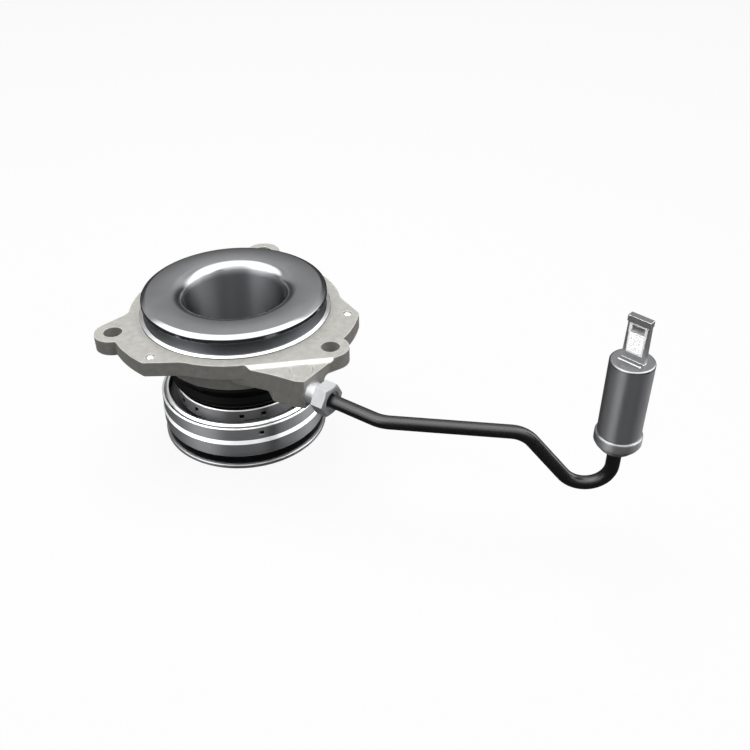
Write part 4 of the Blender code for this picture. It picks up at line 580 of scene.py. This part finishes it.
# Painted highlight on the retainer's top edge.
paint(retainer, (painted_highlight_band, lambda place, normal: place.z > 28.45 and normal.z > 0.3))

# %% Piston, behind the boot
PISTON = [(25.2, 54.5), (28.2, 54.5, 0.6), (28.2, 21.9, 0.3), (25.2, 21.9, 0.3)]
finish_piece("ring_piston", turned_mesh("piston", PISTON), alloy, "release_carriage", ["piston"])

# %% [markdown]
# ## Dust boot
# A rubber bellows keeps dirt out. It is soft, and on the real actuator it is squashed towards the neck as the
# piston goes home; here it is built in one shape, with a mesh of its own.

# %% The bellows
BOOT = [
    (31.4, 21.9), (31.4, 29.7, 0.5), (34.6, 33.1, 1.1), (31.8, 36.4, 0.7), (34.6, 39.8, 1.1), (31.4, 43.2, 0.6),
    (31.4, 44.5), (33.3, 44.5), (33.3, 46.9), (30.7, 46.9), (30.7, 42.5), (33.6, 39.8, 0.6), (30.9, 36.4, 0.5),
    (33.6, 33.1, 0.6), (30.7, 30.4), (30.7, 21.9),
]
boot = finish_piece("dust_boot_bellows", turned_mesh("boot", BOOT), rubber, "cylinder_body",
                    ["dust_boot"], 60.0)
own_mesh(boot)

# %% [markdown]
# ## Geometry Nodes for what repeats
# Balls and locating pins stand at equal turns round the axis, and the grip's ribs in a line. A tree takes any
# mesh, copies it onto points and makes the copies real, so that the piece is a plain mesh.

# %% Trees that repeat a mesh
def copies_tree(name, settings):
    """A tree that copies a mesh onto points and makes the copies real, still without its points."""
    tree = bpy.data.node_groups.new(name, "GeometryNodeTree")
    tree.is_modifier = True
    geometry = "NodeSocketGeometry"
    for title, kind in (("Geometry", geometry), ("Count", "NodeSocketInt"), *settings,
                        ("Material", "NodeSocketMaterial")):
        tree.interface.new_socket(title, in_out="INPUT", socket_type=kind)
    tree.interface.new_socket("Geometry", in_out="OUTPUT", socket_type=geometry)
    given = tree.nodes.new("NodeGroupInput").outputs
    copies = add_node(tree, "GeometryNodeInstanceOnPoints", Instance=given["Geometry"])
    real = add_node(tree, "GeometryNodeRealizeInstances", Geometry=copies.outputs[0])
    painted = add_node(tree, "GeometryNodeSetMaterial", Geometry=real.outputs[0], Material=given["Material"])
    put(tree, tree.nodes.new("NodeGroupOutput").inputs[0], painted.outputs[0])
    return tree, given, copies


ring_tree, given, copies = copies_tree("copies_round_axis", [("Radius", FLOAT), ("First Turn", FLOAT)])
circle = add_node(ring_tree, "GeometryNodeMeshCircle", Vertices=given["Count"], Radius=given["Radius"])
turn_by = add_node(ring_tree, "ShaderNodeCombineXYZ", Z=given["First Turn"])
turn_all = add_node(ring_tree, "GeometryNodeTransform", Geometry=circle.outputs["Mesh"],
                    Rotation=turn_by.outputs[0])
put(ring_tree, copies.inputs["Points"], turn_all.outputs[0])


def by_tree(name, mesh, tree, **values):
    """The mesh that a tree makes of another, with the tree's inputs given by name."""
    item = new_object(name, mesh)
    step = item.modifiers.new("tree", "NODES")
    step.node_group = tree
    for socket in tree.interface.items_tree:
        if socket.item_type == "SOCKET" and socket.in_out == "INPUT" and socket.name.replace(" ", "_") in values:
            step[socket.identifier] = values[socket.name.replace(" ", "_")]
    return shown(item)


print("tree:", ring_tree.name)

# %% Balls and pins
work = bmesh.new()
bmesh.ops.create_uvsphere(work, u_segments=20, v_segments=12, radius=3.5 * MM)
ball = bpy.data.meshes.new("ball")
work.to_mesh(ball)
work.free()
balls = by_tree("balls", ball, ring_tree, Count=18, Radius=33.3 * MM, First_Turn=0.0, Material=ball_steel)
moved(balls, (AXIS_X, AXIS_Y, 8.6))
finish_piece("bearing_balls", balls, ball_steel, "ball_set",
             [f"bearing_ball_{k + 1:02d}" for k in range(18)], 60.0)

PIN = [(0.0, 67.0), (0.8, 66.95, 1.0), (1.72, 66.4, 0.8), (1.72, 61.0), (0.0, 61.0)]
pin = turned_mesh("pin", PIN, 0.1, 32, closed=False, centre=ORIGIN)
PIN_CIRCLE = 53.5
pins = by_tree("pins", pin, ring_tree, Count=3, Radius=PIN_CIRCLE * MM, First_Turn=0.0, Material=pin_steel)
finish_piece("locating_pins", moved(pins, AT_AXIS), pin_steel, "cylinder_body",
             [f"locating_pin_{k + 1}" for k in range(3)])

# %% [markdown]
# ## The casting
# The housing is one die casting. Its flange has three ears with bolt holes and three lobes between them.
# A turned barrel stands through it, and the inlet block grows out of one side under a milled step.
# The forms are joined and cut as a foundry and a mill would, and then every edge is rolled a little.

# %% Outline of the flange
EAR_TURNS = (-30.0, 90.0, 210.0)
EAR_AT, EAR = 58.0, 8.5                # an ear's place and its radius
LOBE, FLANGE = 59.1, 50.3              # radii of the lobes and of the round edge
FLANGE_TOP = 66.6
PORT = Vector((45.3, -50.2, 56.4))
PORT_OUT = polar(1.0, -28.0)
PORT_ALONG = polar(1.0, 62.0)
CORNER = PORT - PORT_ALONG * 4.9


def sector(turn, web=None):
    """An ear, its lobe and the round edge up to the next ear."""
    ear = polar(EAR_AT, turn).xy
    foot = web or polar(FLANGE, turn - 16.0).xy
    away = foot - ear
    start = turn_of(away.x, away.y) + math.degrees(math.acos(EAR / away.length))
    meet = math.degrees(math.acos((EAR_AT ** 2 + LOBE ** 2 - EAR ** 2) / (2 * EAR_AT * LOBE)))
    valley = polar(LOBE, turn + meet).xy
    toward = valley - ear
    stop = turn_of(toward.x, toward.y) % 360.0
    start = start % 360.0
    stop += 360.0 if stop < start else 0.0
    corners = [(foot.x, foot.y)] if web else [(foot.x, foot.y, 8.0)]
    for k in range(28):
        angle = math.radians(start + (stop - start) * k / 28)
        corners.append((ear.x + EAR * math.cos(angle), ear.y + EAR * math.sin(angle)))
    corners.append((valley.x, valley.y, 4.0))
    for k in range(10):
        spot = polar(LOBE, turn + 13.5 + 1.75 * k)
        corners.append((spot.x, spot.y))
    tip, heel = polar(LOBE, turn + 31.0), polar(FLANGE, turn + 46.5)
    corners += [(tip.x, tip.y, 2.0), (heel.x, heel.y, 8.0)]
    for k in range(25):
        spot = polar(FLANGE, turn + 51.5 + 47.5 * k / 24)
        corners.append((spot.x, spot.y))
    return corners


web_foot = (PORT + PORT_ALONG * 11.5 - PORT_OUT * 0.15).xy
flange_edge = softened(sector(-30.0, web_foot) + sector(90.0) + sector(210.0), step=8.0)
print("points round the flange:", len(flange_edge))

# %% Forms of the casting
def ring_outline(radius, steps=FINE_STEPS):
    return [polar(radius, 360.0 * (k + 0.5) / steps).xy for k in range(steps)]


def laid_out(mesh):
    """A mesh that stands on Z is laid along the port's axis, its foot on the port face."""
    mesh.transform(Matrix.Translation(PORT * MM) @ PORT_OUT.to_track_quat("Z", "Y").to_matrix().to_4x4())
    return mesh


end = CORNER + PORT_ALONG * 17.4
root_right = polar(35.0, turn_of(end.x, end.y) + 12.0)
root_left = polar(35.0, turn_of(28.2, -51.0))
block_edge = softened([
    (28.2, -51.0), (CORNER.x - 3.9, CORNER.y, 0.3), (CORNER.x, CORNER.y, 0.3), (end.x, end.y),
    (root_right.x, root_right.y), (root_left.x, root_left.y),
])
inlet_block = plate_mesh("inlet_block", [block_edge], 50.8, FLANGE_TOP)
shoulder = softened([(8.8, -6.6), (8.8, 3.1, 2.2), (17.4, 3.1), (17.4, -6.6)], step=10.0)
inlet_block = combined(inlet_block, [(laid_out(plate_mesh("shoulder", [shoulder], -40.0, 1.0)), "DIFFERENCE")])

lead = turn_of(28.2, -51.0) + 8.0
web_points = [(9.0, -46.5), (28.2, -51.0), polar(FLANGE, lead).xy, polar(35.0, lead).xy,
              polar(35.0, turn_of(9.0, -46.5)).xy]
web = plate_mesh("web", [web_points], 55.7, FLANGE_TOP)

STEP_TURN, STEP_AT = -73.5, 50.7       # where the milled step stands, and how far from the axis
step = plate_mesh("step", [[(0.0, FLANGE_TOP), (1.1, 64.8), (40.0, 64.8), (40.0, 68.6), (-1.22, 68.6)]], -40.0, 40.0)
step.transform(Matrix.Rotation(math.radians(90.0), 4, "X"))
moved(step, (STEP_AT, 0.0, 0.0))
step.transform(Matrix.Rotation(math.radians(STEP_TURN), 4, "Z"))

BARREL = [
    (28.6 - 3.4, 71.8), (28.6, 75.2, 3.3), (31.0, 75.2), (31.0, 73.0), (33.8, 73.0), (33.8, 75.2), (40.2, 75.2),
    (40.2, 60.5), (42.7, 60.5), (42.7, 59.5), (38.7, 59.5, 4.0), (37.5, 44.2, 0.9), (33.6, 44.2), (33.6, 47.2),
    (30.7, 47.2), (30.7, 52.0), (28.5, 52.0), (28.5, 71.0), (25.2, 71.0),
]
barrel = turned_mesh("barrel", BARREL, 0.0, centre=ORIGIN)
recess = turned_mesh("recess", [(45.3, 67.6), (45.3, 65.7), (33.4, 65.7), (33.4, 67.6)], 0.0, centre=ORIGIN)
print("forms:", inlet_block.name, web.name, barrel.name)

# %% Joined, cut, drilled
cuts = []
for turn in EAR_TURNS:
    bolt, pin_hole = polar(EAR_AT, turn), polar(PIN_CIRCLE, turn + 30.0)
    cuts += [hole(4.3, bolt, 49.0, 68.0, 56), hole(1.8, pin_hole, 60.7, 68.0, 32),
             hole(2.3, pin_hole, 65.6, 68.0, 40)]
PLUG = (40.1, -46.0)
cuts += [drill_cut(5.3, PORT - PORT_OUT * 11.0, PORT + PORT_OUT), hole(5.35, PLUG, 61.1, 64.83, 64)]
body_form = plate_mesh("flange", [flange_edge, ring_outline(34.35)], 59.5, FLANGE_TOP)
casting = combined(body_form, [
    (inlet_block, "UNION"), (web, "UNION"), (step, "DIFFERENCE"), (recess, "DIFFERENCE"), (barrel, "UNION"), *cuts,
])
casting = cleaned(casting)
print("faces before the edges are rolled:", len(casting.polygons))

# %% Rolled edges
def rolled(mesh, width, angle=32.0, segments=2):
    """Edges sharper than the angle get a small even roll, kept off the bends of the outline."""
    item = new_object(mesh.name, mesh)
    bevel = item.modifiers.new("edges", "BEVEL")
    bevel.width = width * MM
    bevel.segments = segments
    bevel.limit_method = "ANGLE"
    bevel.angle_limit = math.radians(angle)
    bevel.use_clamp_overlap = True
    bevel.harden_normals = False
    mesh = shown(item)
    mesh.shade_smooth()
    mesh.set_sharp_from_angle(angle=math.radians(50.0))
    item = new_object(mesh.name, mesh)
    flats = item.modifiers.new("flats", "WEIGHTED_NORMAL")
    flats.keep_sharp = True
    flats.weight = 100
    return shown(item)


casting = rolled(moved(casting, AT_AXIS), 0.35)
housing = finish_piece("housing_casting", casting, aluminium, "cylinder_body", ["housing"], None)
# A studio trick: the steel below reflects the lamps and not the casting that overhangs it, as in the photograph.
housing.visible_glossy = False
step_way = polar(1.0, STEP_TURN)
facet_way = (step_way * 1.8 + Vector((0.0, 0.0, 1.1))).normalized()


def milled_face_and_highlight_edges(place, normal):
    """The step's milled facet, and the rolled top edges past it, whose pale colour is a painted highlight."""
    past_step = place.dot(step_way) > STEP_AT + 0.9 and 0.2 < normal.z < 0.97
    return 64.0 < place.z < 66.7 and (normal.dot(facet_way) > 0.99 or past_step)


# The step's facet gets the milled colour; the rolled edges past it get it as a painted highlight.
paint(housing, (milled_and_highlight, milled_face_and_highlight_edges))

plug = turned_mesh("plug", [(0.0, 64.78), (5.05, 64.78), (5.05, 61.4), (0.0, 61.4)], 0.0, 64, False, PLUG)
finish_piece("channel_plug_disc", moved(plug, AT_AXIS), aluminium, "cylinder_body",
             ["channel_plug"])

# %% [markdown]
# ## Union and pressure pipe
# The pipe is a rigid coated steel tube. It leaves the port, turns along the gearbox, dives, and hooks up into
# the line's connector. A union nut holds its flared end, with a plain shank ahead of the hexagon.

# %% Union nut
hexagon = [polar(13.0 / math.sqrt(3.0), 60.0 * k - 1.8).xy for k in range(6)]
hex_form = plate_mesh("hexagon", [hexagon], 4.9, 11.2)
dome = turned_mesh("dome", [(0.0, 11.4), (5.6, 11.4), (5.8, 11.2, 0.4), (8.6, 10.4), (8.6, 3.9), (0.0, 3.9)],
                   0.0, SMALL_STEPS, False, ORIGIN)
shank = turned_mesh("shank", [(0.0, 6.4), (5.0, 6.4), (5.0, -7.2), (0.0, -7.2)], 0.0, SMALL_STEPS, False, ORIGIN)
nut = combined(hex_form, [(dome, "INTERSECT"), (shank, "UNION"), hole(3.25, ORIGIN, -8.2, 13.2, 48),
                          hole(4.5, ORIGIN, 9.7, 13.2, 48)])
nut = moved(rolled(laid_out(cleaned(nut)), 0.22, 25.0), AT_AXIS)
finish_piece("union_nut", nut, zinc, "cylinder_body", ["pipe_nut"], None)

# %% The pipe's way, with round bends between straight runs
def bend(before, corner, after, radius):
    """Points of a full bend of the pipe."""
    to_before, to_after = before - corner, after - corner
    reach = radius / math.tan(to_before.angle(to_after) / 2)
    return tangent_arc(corner, to_before, to_after, reach, 4.0, 3)


first_point = PORT - PORT_OUT * 10.4
run = PORT + PORT_OUT * ((LINE_Y - PORT.y) / PORT_OUT.y)
dive = Vector((136.4, LINE_Y, PORT.z))
hook = Vector((LINE_X, LINE_Y, PORT.z - (LINE_X - dive.x) * math.tan(math.radians(49.0))))
last_point = Vector((LINE_X, LINE_Y, 57.3))
way = [first_point, *bend(first_point, run, dive, 15.0), *bend(run, dive, hook, 12.0),
       *bend(dive, hook, last_point, 11.0), last_point]

curve = bpy.data.curves.new("pipe", "CURVE")
curve.dimensions = "3D"
curve.bevel_depth = 2.95 * MM
curve.bevel_resolution = 14
curve.use_fill_caps = True
spline = curve.splines.new("POLY")
spline.points.add(len(way) - 1)
for spot, point in zip(spline.points, way):
    spot.co = ((point.x + AXIS_X) * MM, (point.y + AXIS_Y) * MM, point.z * MM, 1.0)
pipe = cleaned(shown(new_object("pipe", curve)))
finish_piece("pressure_pipe_coated", pipe, coating, "cylinder_body", ["pressure_pipe"], 60.0)

# %% [markdown]
# ## Line connector and its cap
# The far end is a plug-in connector. For the journey a cap with a pull tab covers its stem; a pale grip
# is snapped on the tab's front.

# %% Connector body, turned about its own axis
CONNECTOR = [
    (2.0, 83.9), (5.4, 83.9, 0.9), (5.4, 81.4), (4.2, 81.4), (4.2, 79.4), (5.4, 79.4), (5.4, 75.65), (4.2, 75.65),
    (4.2, 73.15), (5.4, 73.15), (5.4, 65.8), (7.0, 65.8, 0.3), (7.0, 60.8), (9.6, 60.8, 0.8), (9.6, 56.6, 0.6),
    (8.8, 55.2, 0.6), (6.6, 52.6, 0.8), (3.25, 52.6), (3.25, 57.6), (2.0, 57.6),
]
finish_piece("connector_turned", turned_mesh("connector", CONNECTOR, 0.15, 96, centre=LINE_AXIS),
             connector_plastic, "cylinder_body", ["connector_body"])

# %% Cap, tab and bar in one moulding
def standing(mesh):
    """An outline of (across, up) stands on the cap, and faces the way the tab looks."""
    mesh.transform(Matrix.Rotation(math.radians(90.0), 4, "X"))
    mesh.transform(Matrix.Rotation(math.radians(-37.5), 4, "Z"))
    return moved(mesh, (*LINE_AXIS, 0.0))


def trapezium(foot_width, top_width, low, high):
    return [(-foot_width / 2, low), (foot_width / 2, low), (top_width / 2, high), (-top_width / 2, high)]


CAP = [(0.0, 95.2), (8.8, 95.2, 0.9), (8.8, 61.1, 0.2), (7.3, 61.1, 0.2), (7.3, 92.4), (0.0, 92.4)]
cap = turned_mesh("cap", CAP, 0.2, 96, closed=False, centre=LINE_AXIS)
tab = standing(plate_mesh("tab", [trapezium(9.9, 9.2, 94.2, 111.8)], -1.6, 0.4))
bar = standing(plate_mesh("bar", [trapezium(9.6, 9.6, 111.3, 113.8)], -1.85, 1.1))
pocket = standing(plate_mesh("pocket", [trapezium(6.8, 7.8, 98.1, 110.9)], -0.4, 0.9))
ridge = standing(plate_mesh("ridge", [trapezium(9.6, 9.6, 94.9, 95.5)], 2.3, 2.9))
cap = combined(cap, [(tab, "UNION"), (bar, "UNION"), (ridge, "UNION"), (pocket, "DIFFERENCE")])
cap = rolled(cleaned(cap), 0.4, 40.0, 3)
cap = finish_piece("protective_cap", cap, cap_plastic, "cap", ["connector_cap"], None)
# Painted light: the tab's faces get a lighter copy of the cap's plastic.
paint(cap,
      (cap_wall, lambda place, normal: place.z < 94.4 and abs(normal.z) < 0.2),
      (tab_plastic, lambda place, normal: place.z > 95.25 and normal.z < 0.7))

# %% The grip, with its ribs by Geometry Nodes
line_tree, given, copies = copies_tree("copies_in_line", [("Pitch", FLOAT)])
climb = add_node(line_tree, "ShaderNodeCombineXYZ", Y=given["Pitch"])
points = add_node(line_tree, "GeometryNodeMeshLine", Count=given["Count"], Offset=climb.outputs[0])
put(line_tree, copies.inputs["Points"], points.outputs["Mesh"])

pad = plate_mesh("pad", [trapezium(6.76, 7.76, 98.13, 110.87), trapezium(5.7, 5.7, 106.4, 110.1)], -0.4, 0.5)
rib = plate_mesh("rib", [[(-2.7, 98.9), (2.7, 98.9), (2.8, 99.2), (-2.8, 99.2)]], 0.3, 0.75)
ribs = by_tree("ribs", rib, line_tree, Count=13, Pitch=0.62 * MM, Material=pad_white)
pad = standing(combined(pad, [(ribs, "UNION")]))
finish_piece("tab_grip", cleaned(pad), pad_white, "cap", ["grip_pad"], 30.0)

# %% [markdown]
# ## Solids kept from the pack
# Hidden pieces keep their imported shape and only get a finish.

# %% Finishes for the kept solids
KEPT = {
    "flange_o_ring": seal_rubber, "retaining_ring": spring_steel, "piston_seal": seal_rubber,
    "preload_spring": spring_steel, "centring_washer": plate_steel, "ball_cage": cage_plastic, "pipe_olive": brass,
    "stem_o_ring": seal_rubber,
}
for name, material in KEPT.items():
    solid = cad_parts[name]
    if solid.data.materials:
        solid.data.materials[0] = material
    else:
        solid.data.materials.append(material)
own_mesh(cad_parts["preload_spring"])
print("kept solids:", len(KEPT))

# %% [markdown]
# ## Floor, world and lights
# The photograph was cut out on white. The floor is plain and pale to the camera. Metal shows what stands
# round it, so a mirror-like wall must see a darker floor, and a flat top a soft grey sky with a bright panel.

# %% Floor
def framed(name):
    material = bpy.data.materials.new(name)
    material.use_nodes = True
    material.node_tree.nodes.clear()
    return material, material.node_tree


floor_material, tree = framed("studio_floor")
output = tree.nodes.new("ShaderNodeOutputMaterial")
rays = tree.nodes.new("ShaderNodeLightPath")
paper = tree.nodes.new("ShaderNodeBsdfDiffuse")
paper.inputs["Color"].default_value = (0.8, 0.8, 0.8, 1.0)
glow = tree.nodes.new("ShaderNodeEmission")
glow.inputs["Strength"].default_value = 1.0
lit = tree.nodes.new("ShaderNodeMixShader")
lit.inputs[0].default_value = 0.93
tree.links.new(paper.outputs[0], lit.inputs[1])
tree.links.new(glow.outputs[0], lit.inputs[2])
to_metal = tree.nodes.new("ShaderNodeEmission")
to_metal.inputs["Color"].default_value = (0.97, 0.98, 1.0, 1.0)
to_metal.inputs["Strength"].default_value = 0.08
to_walls = tree.nodes.new("ShaderNodeEmission")
to_walls.inputs["Strength"].default_value = 0.08
seen = tree.nodes.new("ShaderNodeMixShader")
tree.links.new(rays.outputs["Is Glossy Ray"], seen.inputs[0])
tree.links.new(to_walls.outputs[0], seen.inputs[1])
tree.links.new(to_metal.outputs[0], seen.inputs[2])
shown_floor = tree.nodes.new("ShaderNodeMixShader")
tree.links.new(rays.outputs["Is Camera Ray"], shown_floor.inputs[0])
tree.links.new(seen.outputs[0], shown_floor.inputs[1])
tree.links.new(lit.outputs[0], shown_floor.inputs[2])
tree.links.new(shown_floor.outputs[0], output.inputs["Surface"])
floor = block_mesh((6000.0, 6000.0, 2.0), (0.0, 0.0, -1.05))
floor.materials.append(floor_material)
floor_item = new_object("floor", floor)
print("floor:", floor_item.name)

# %% World: white to the camera, a room with bright panels to the metal, a soft sky to the rest
world = bpy.data.worlds.new("studio")
bpy.context.scene.world = world
world.use_nodes = True
tree = world.node_tree
tree.nodes.clear()
output = tree.nodes.new("ShaderNodeOutputWorld")
rays = tree.nodes.new("ShaderNodeLightPath")
toward = tree.nodes.new("ShaderNodeTexCoord")
parts = tree.nodes.new("ShaderNodeSeparateXYZ")
tree.links.new(toward.outputs["Generated"], parts.inputs[0])
# The angle up is 0 behind the object and half a turn behind the camera.
up = math_node(tree, "ARCTAN2", parts.outputs["Z"], parts.outputs["Y"])


def window(value, low, high, soft):
    """1 where the value lies between low and high, with soft ends."""
    rise = ramped(tree, value, low - soft, low + soft, smooth=True)
    fall = ramped(tree, value, high + soft, high - soft, smooth=True)
    return math_node(tree, "MULTIPLY", rise, fall)


def glowing(mask, level):
    return math_node(tree, "MULTIPLY", mask, level)


overhead = math_node(tree, "MULTIPLY", window(up, 1.1, 2.2, 0.1), window(parts.outputs["X"], -0.9, 0.9, 0.08))
slope = ramped(tree, parts.outputs["X"], -0.42, -0.05, 0.8, 1.05, True)
behind = math_node(tree, "MULTIPLY", window(up, 0.5, 0.95, 0.2), slope)
round_about = math_node(tree, "ARCTAN2", parts.outputs["X"], math_node(tree, "MULTIPLY", parts.outputs["Y"], -1.0))
height = window(parts.outputs["Z"], 0.0, 0.9, 0.12)
left_side = math_node(tree, "MULTIPLY", window(round_about, -1.15, -0.5, 0.3), height)
right_side = math_node(tree, "MULTIPLY", window(round_about, 1.65, 2.3, 0.28), height)
facing = math_node(tree, "MULTIPLY", window(up, 2.25, 2.6, 0.1), window(parts.outputs["X"], -0.5, 0.5, 0.1))
total = math_node(tree, "ADD", glowing(overhead, 6.0), glowing(behind, 1.65))
total = math_node(tree, "ADD", total, glowing(facing, 3.0))
total = math_node(tree, "ADD", total, glowing(left_side, 4.7))
total = math_node(tree, "ADD", total, glowing(right_side, 5.4))
total = math_node(tree, "ADD", total, 0.15)
to_metal = tree.nodes.new("ShaderNodeBackground")
tree.links.new(total, to_metal.inputs["Strength"])
sky = tree.nodes.new("ShaderNodeBackground")
sky.inputs["Strength"].default_value = 0.2
white = tree.nodes.new("ShaderNodeBackground")
white.inputs["Color"].default_value = (1.0, 1.0, 1.0, 1.0)
white.inputs["Strength"].default_value = 1.0
room = tree.nodes.new("ShaderNodeMixShader")
tree.links.new(rays.outputs["Is Glossy Ray"], room.inputs[0])
tree.links.new(sky.outputs[0], room.inputs[1])
tree.links.new(to_metal.outputs[0], room.inputs[2])
either = tree.nodes.new("ShaderNodeMixShader")
tree.links.new(rays.outputs["Is Camera Ray"], either.inputs[0])
tree.links.new(room.outputs[0], either.inputs[1])
tree.links.new(white.outputs[0], either.inputs[2])
tree.links.new(either.outputs[0], output.inputs["Surface"])
print("world:", world.name)

# %% Soft panels
def panel(name, place, target, size, power):
    light = bpy.data.lights.new(name, "AREA")
    light.shape = "RECTANGLE"
    light.size, light.size_y = size
    light.energy = power
    item = new_object(name, light)
    item.location = place
    item.rotation_euler = (Vector(target) - Vector(place)).to_track_quat("-Z", "Y").to_euler()
    item.visible_glossy = False
    return item


centre = (-0.03, 0.0, 0.05)
panel("panel_overhead", (-0.1, 0.1, 0.9), centre, (0.7, 0.6), 7.5)
panel("panel_left", (-0.8, -0.3, 0.5), centre, (0.4, 0.4), 0.8)
panel("panel_right", (0.6, -0.5, 0.35), centre, (0.2, 0.5), 1.4)
print("lights:", len(bpy.data.lights))

# %% Colour as shot
scene = bpy.context.scene
scene.view_settings.view_transform = "Standard"
print("view transform:", scene.view_settings.view_transform)
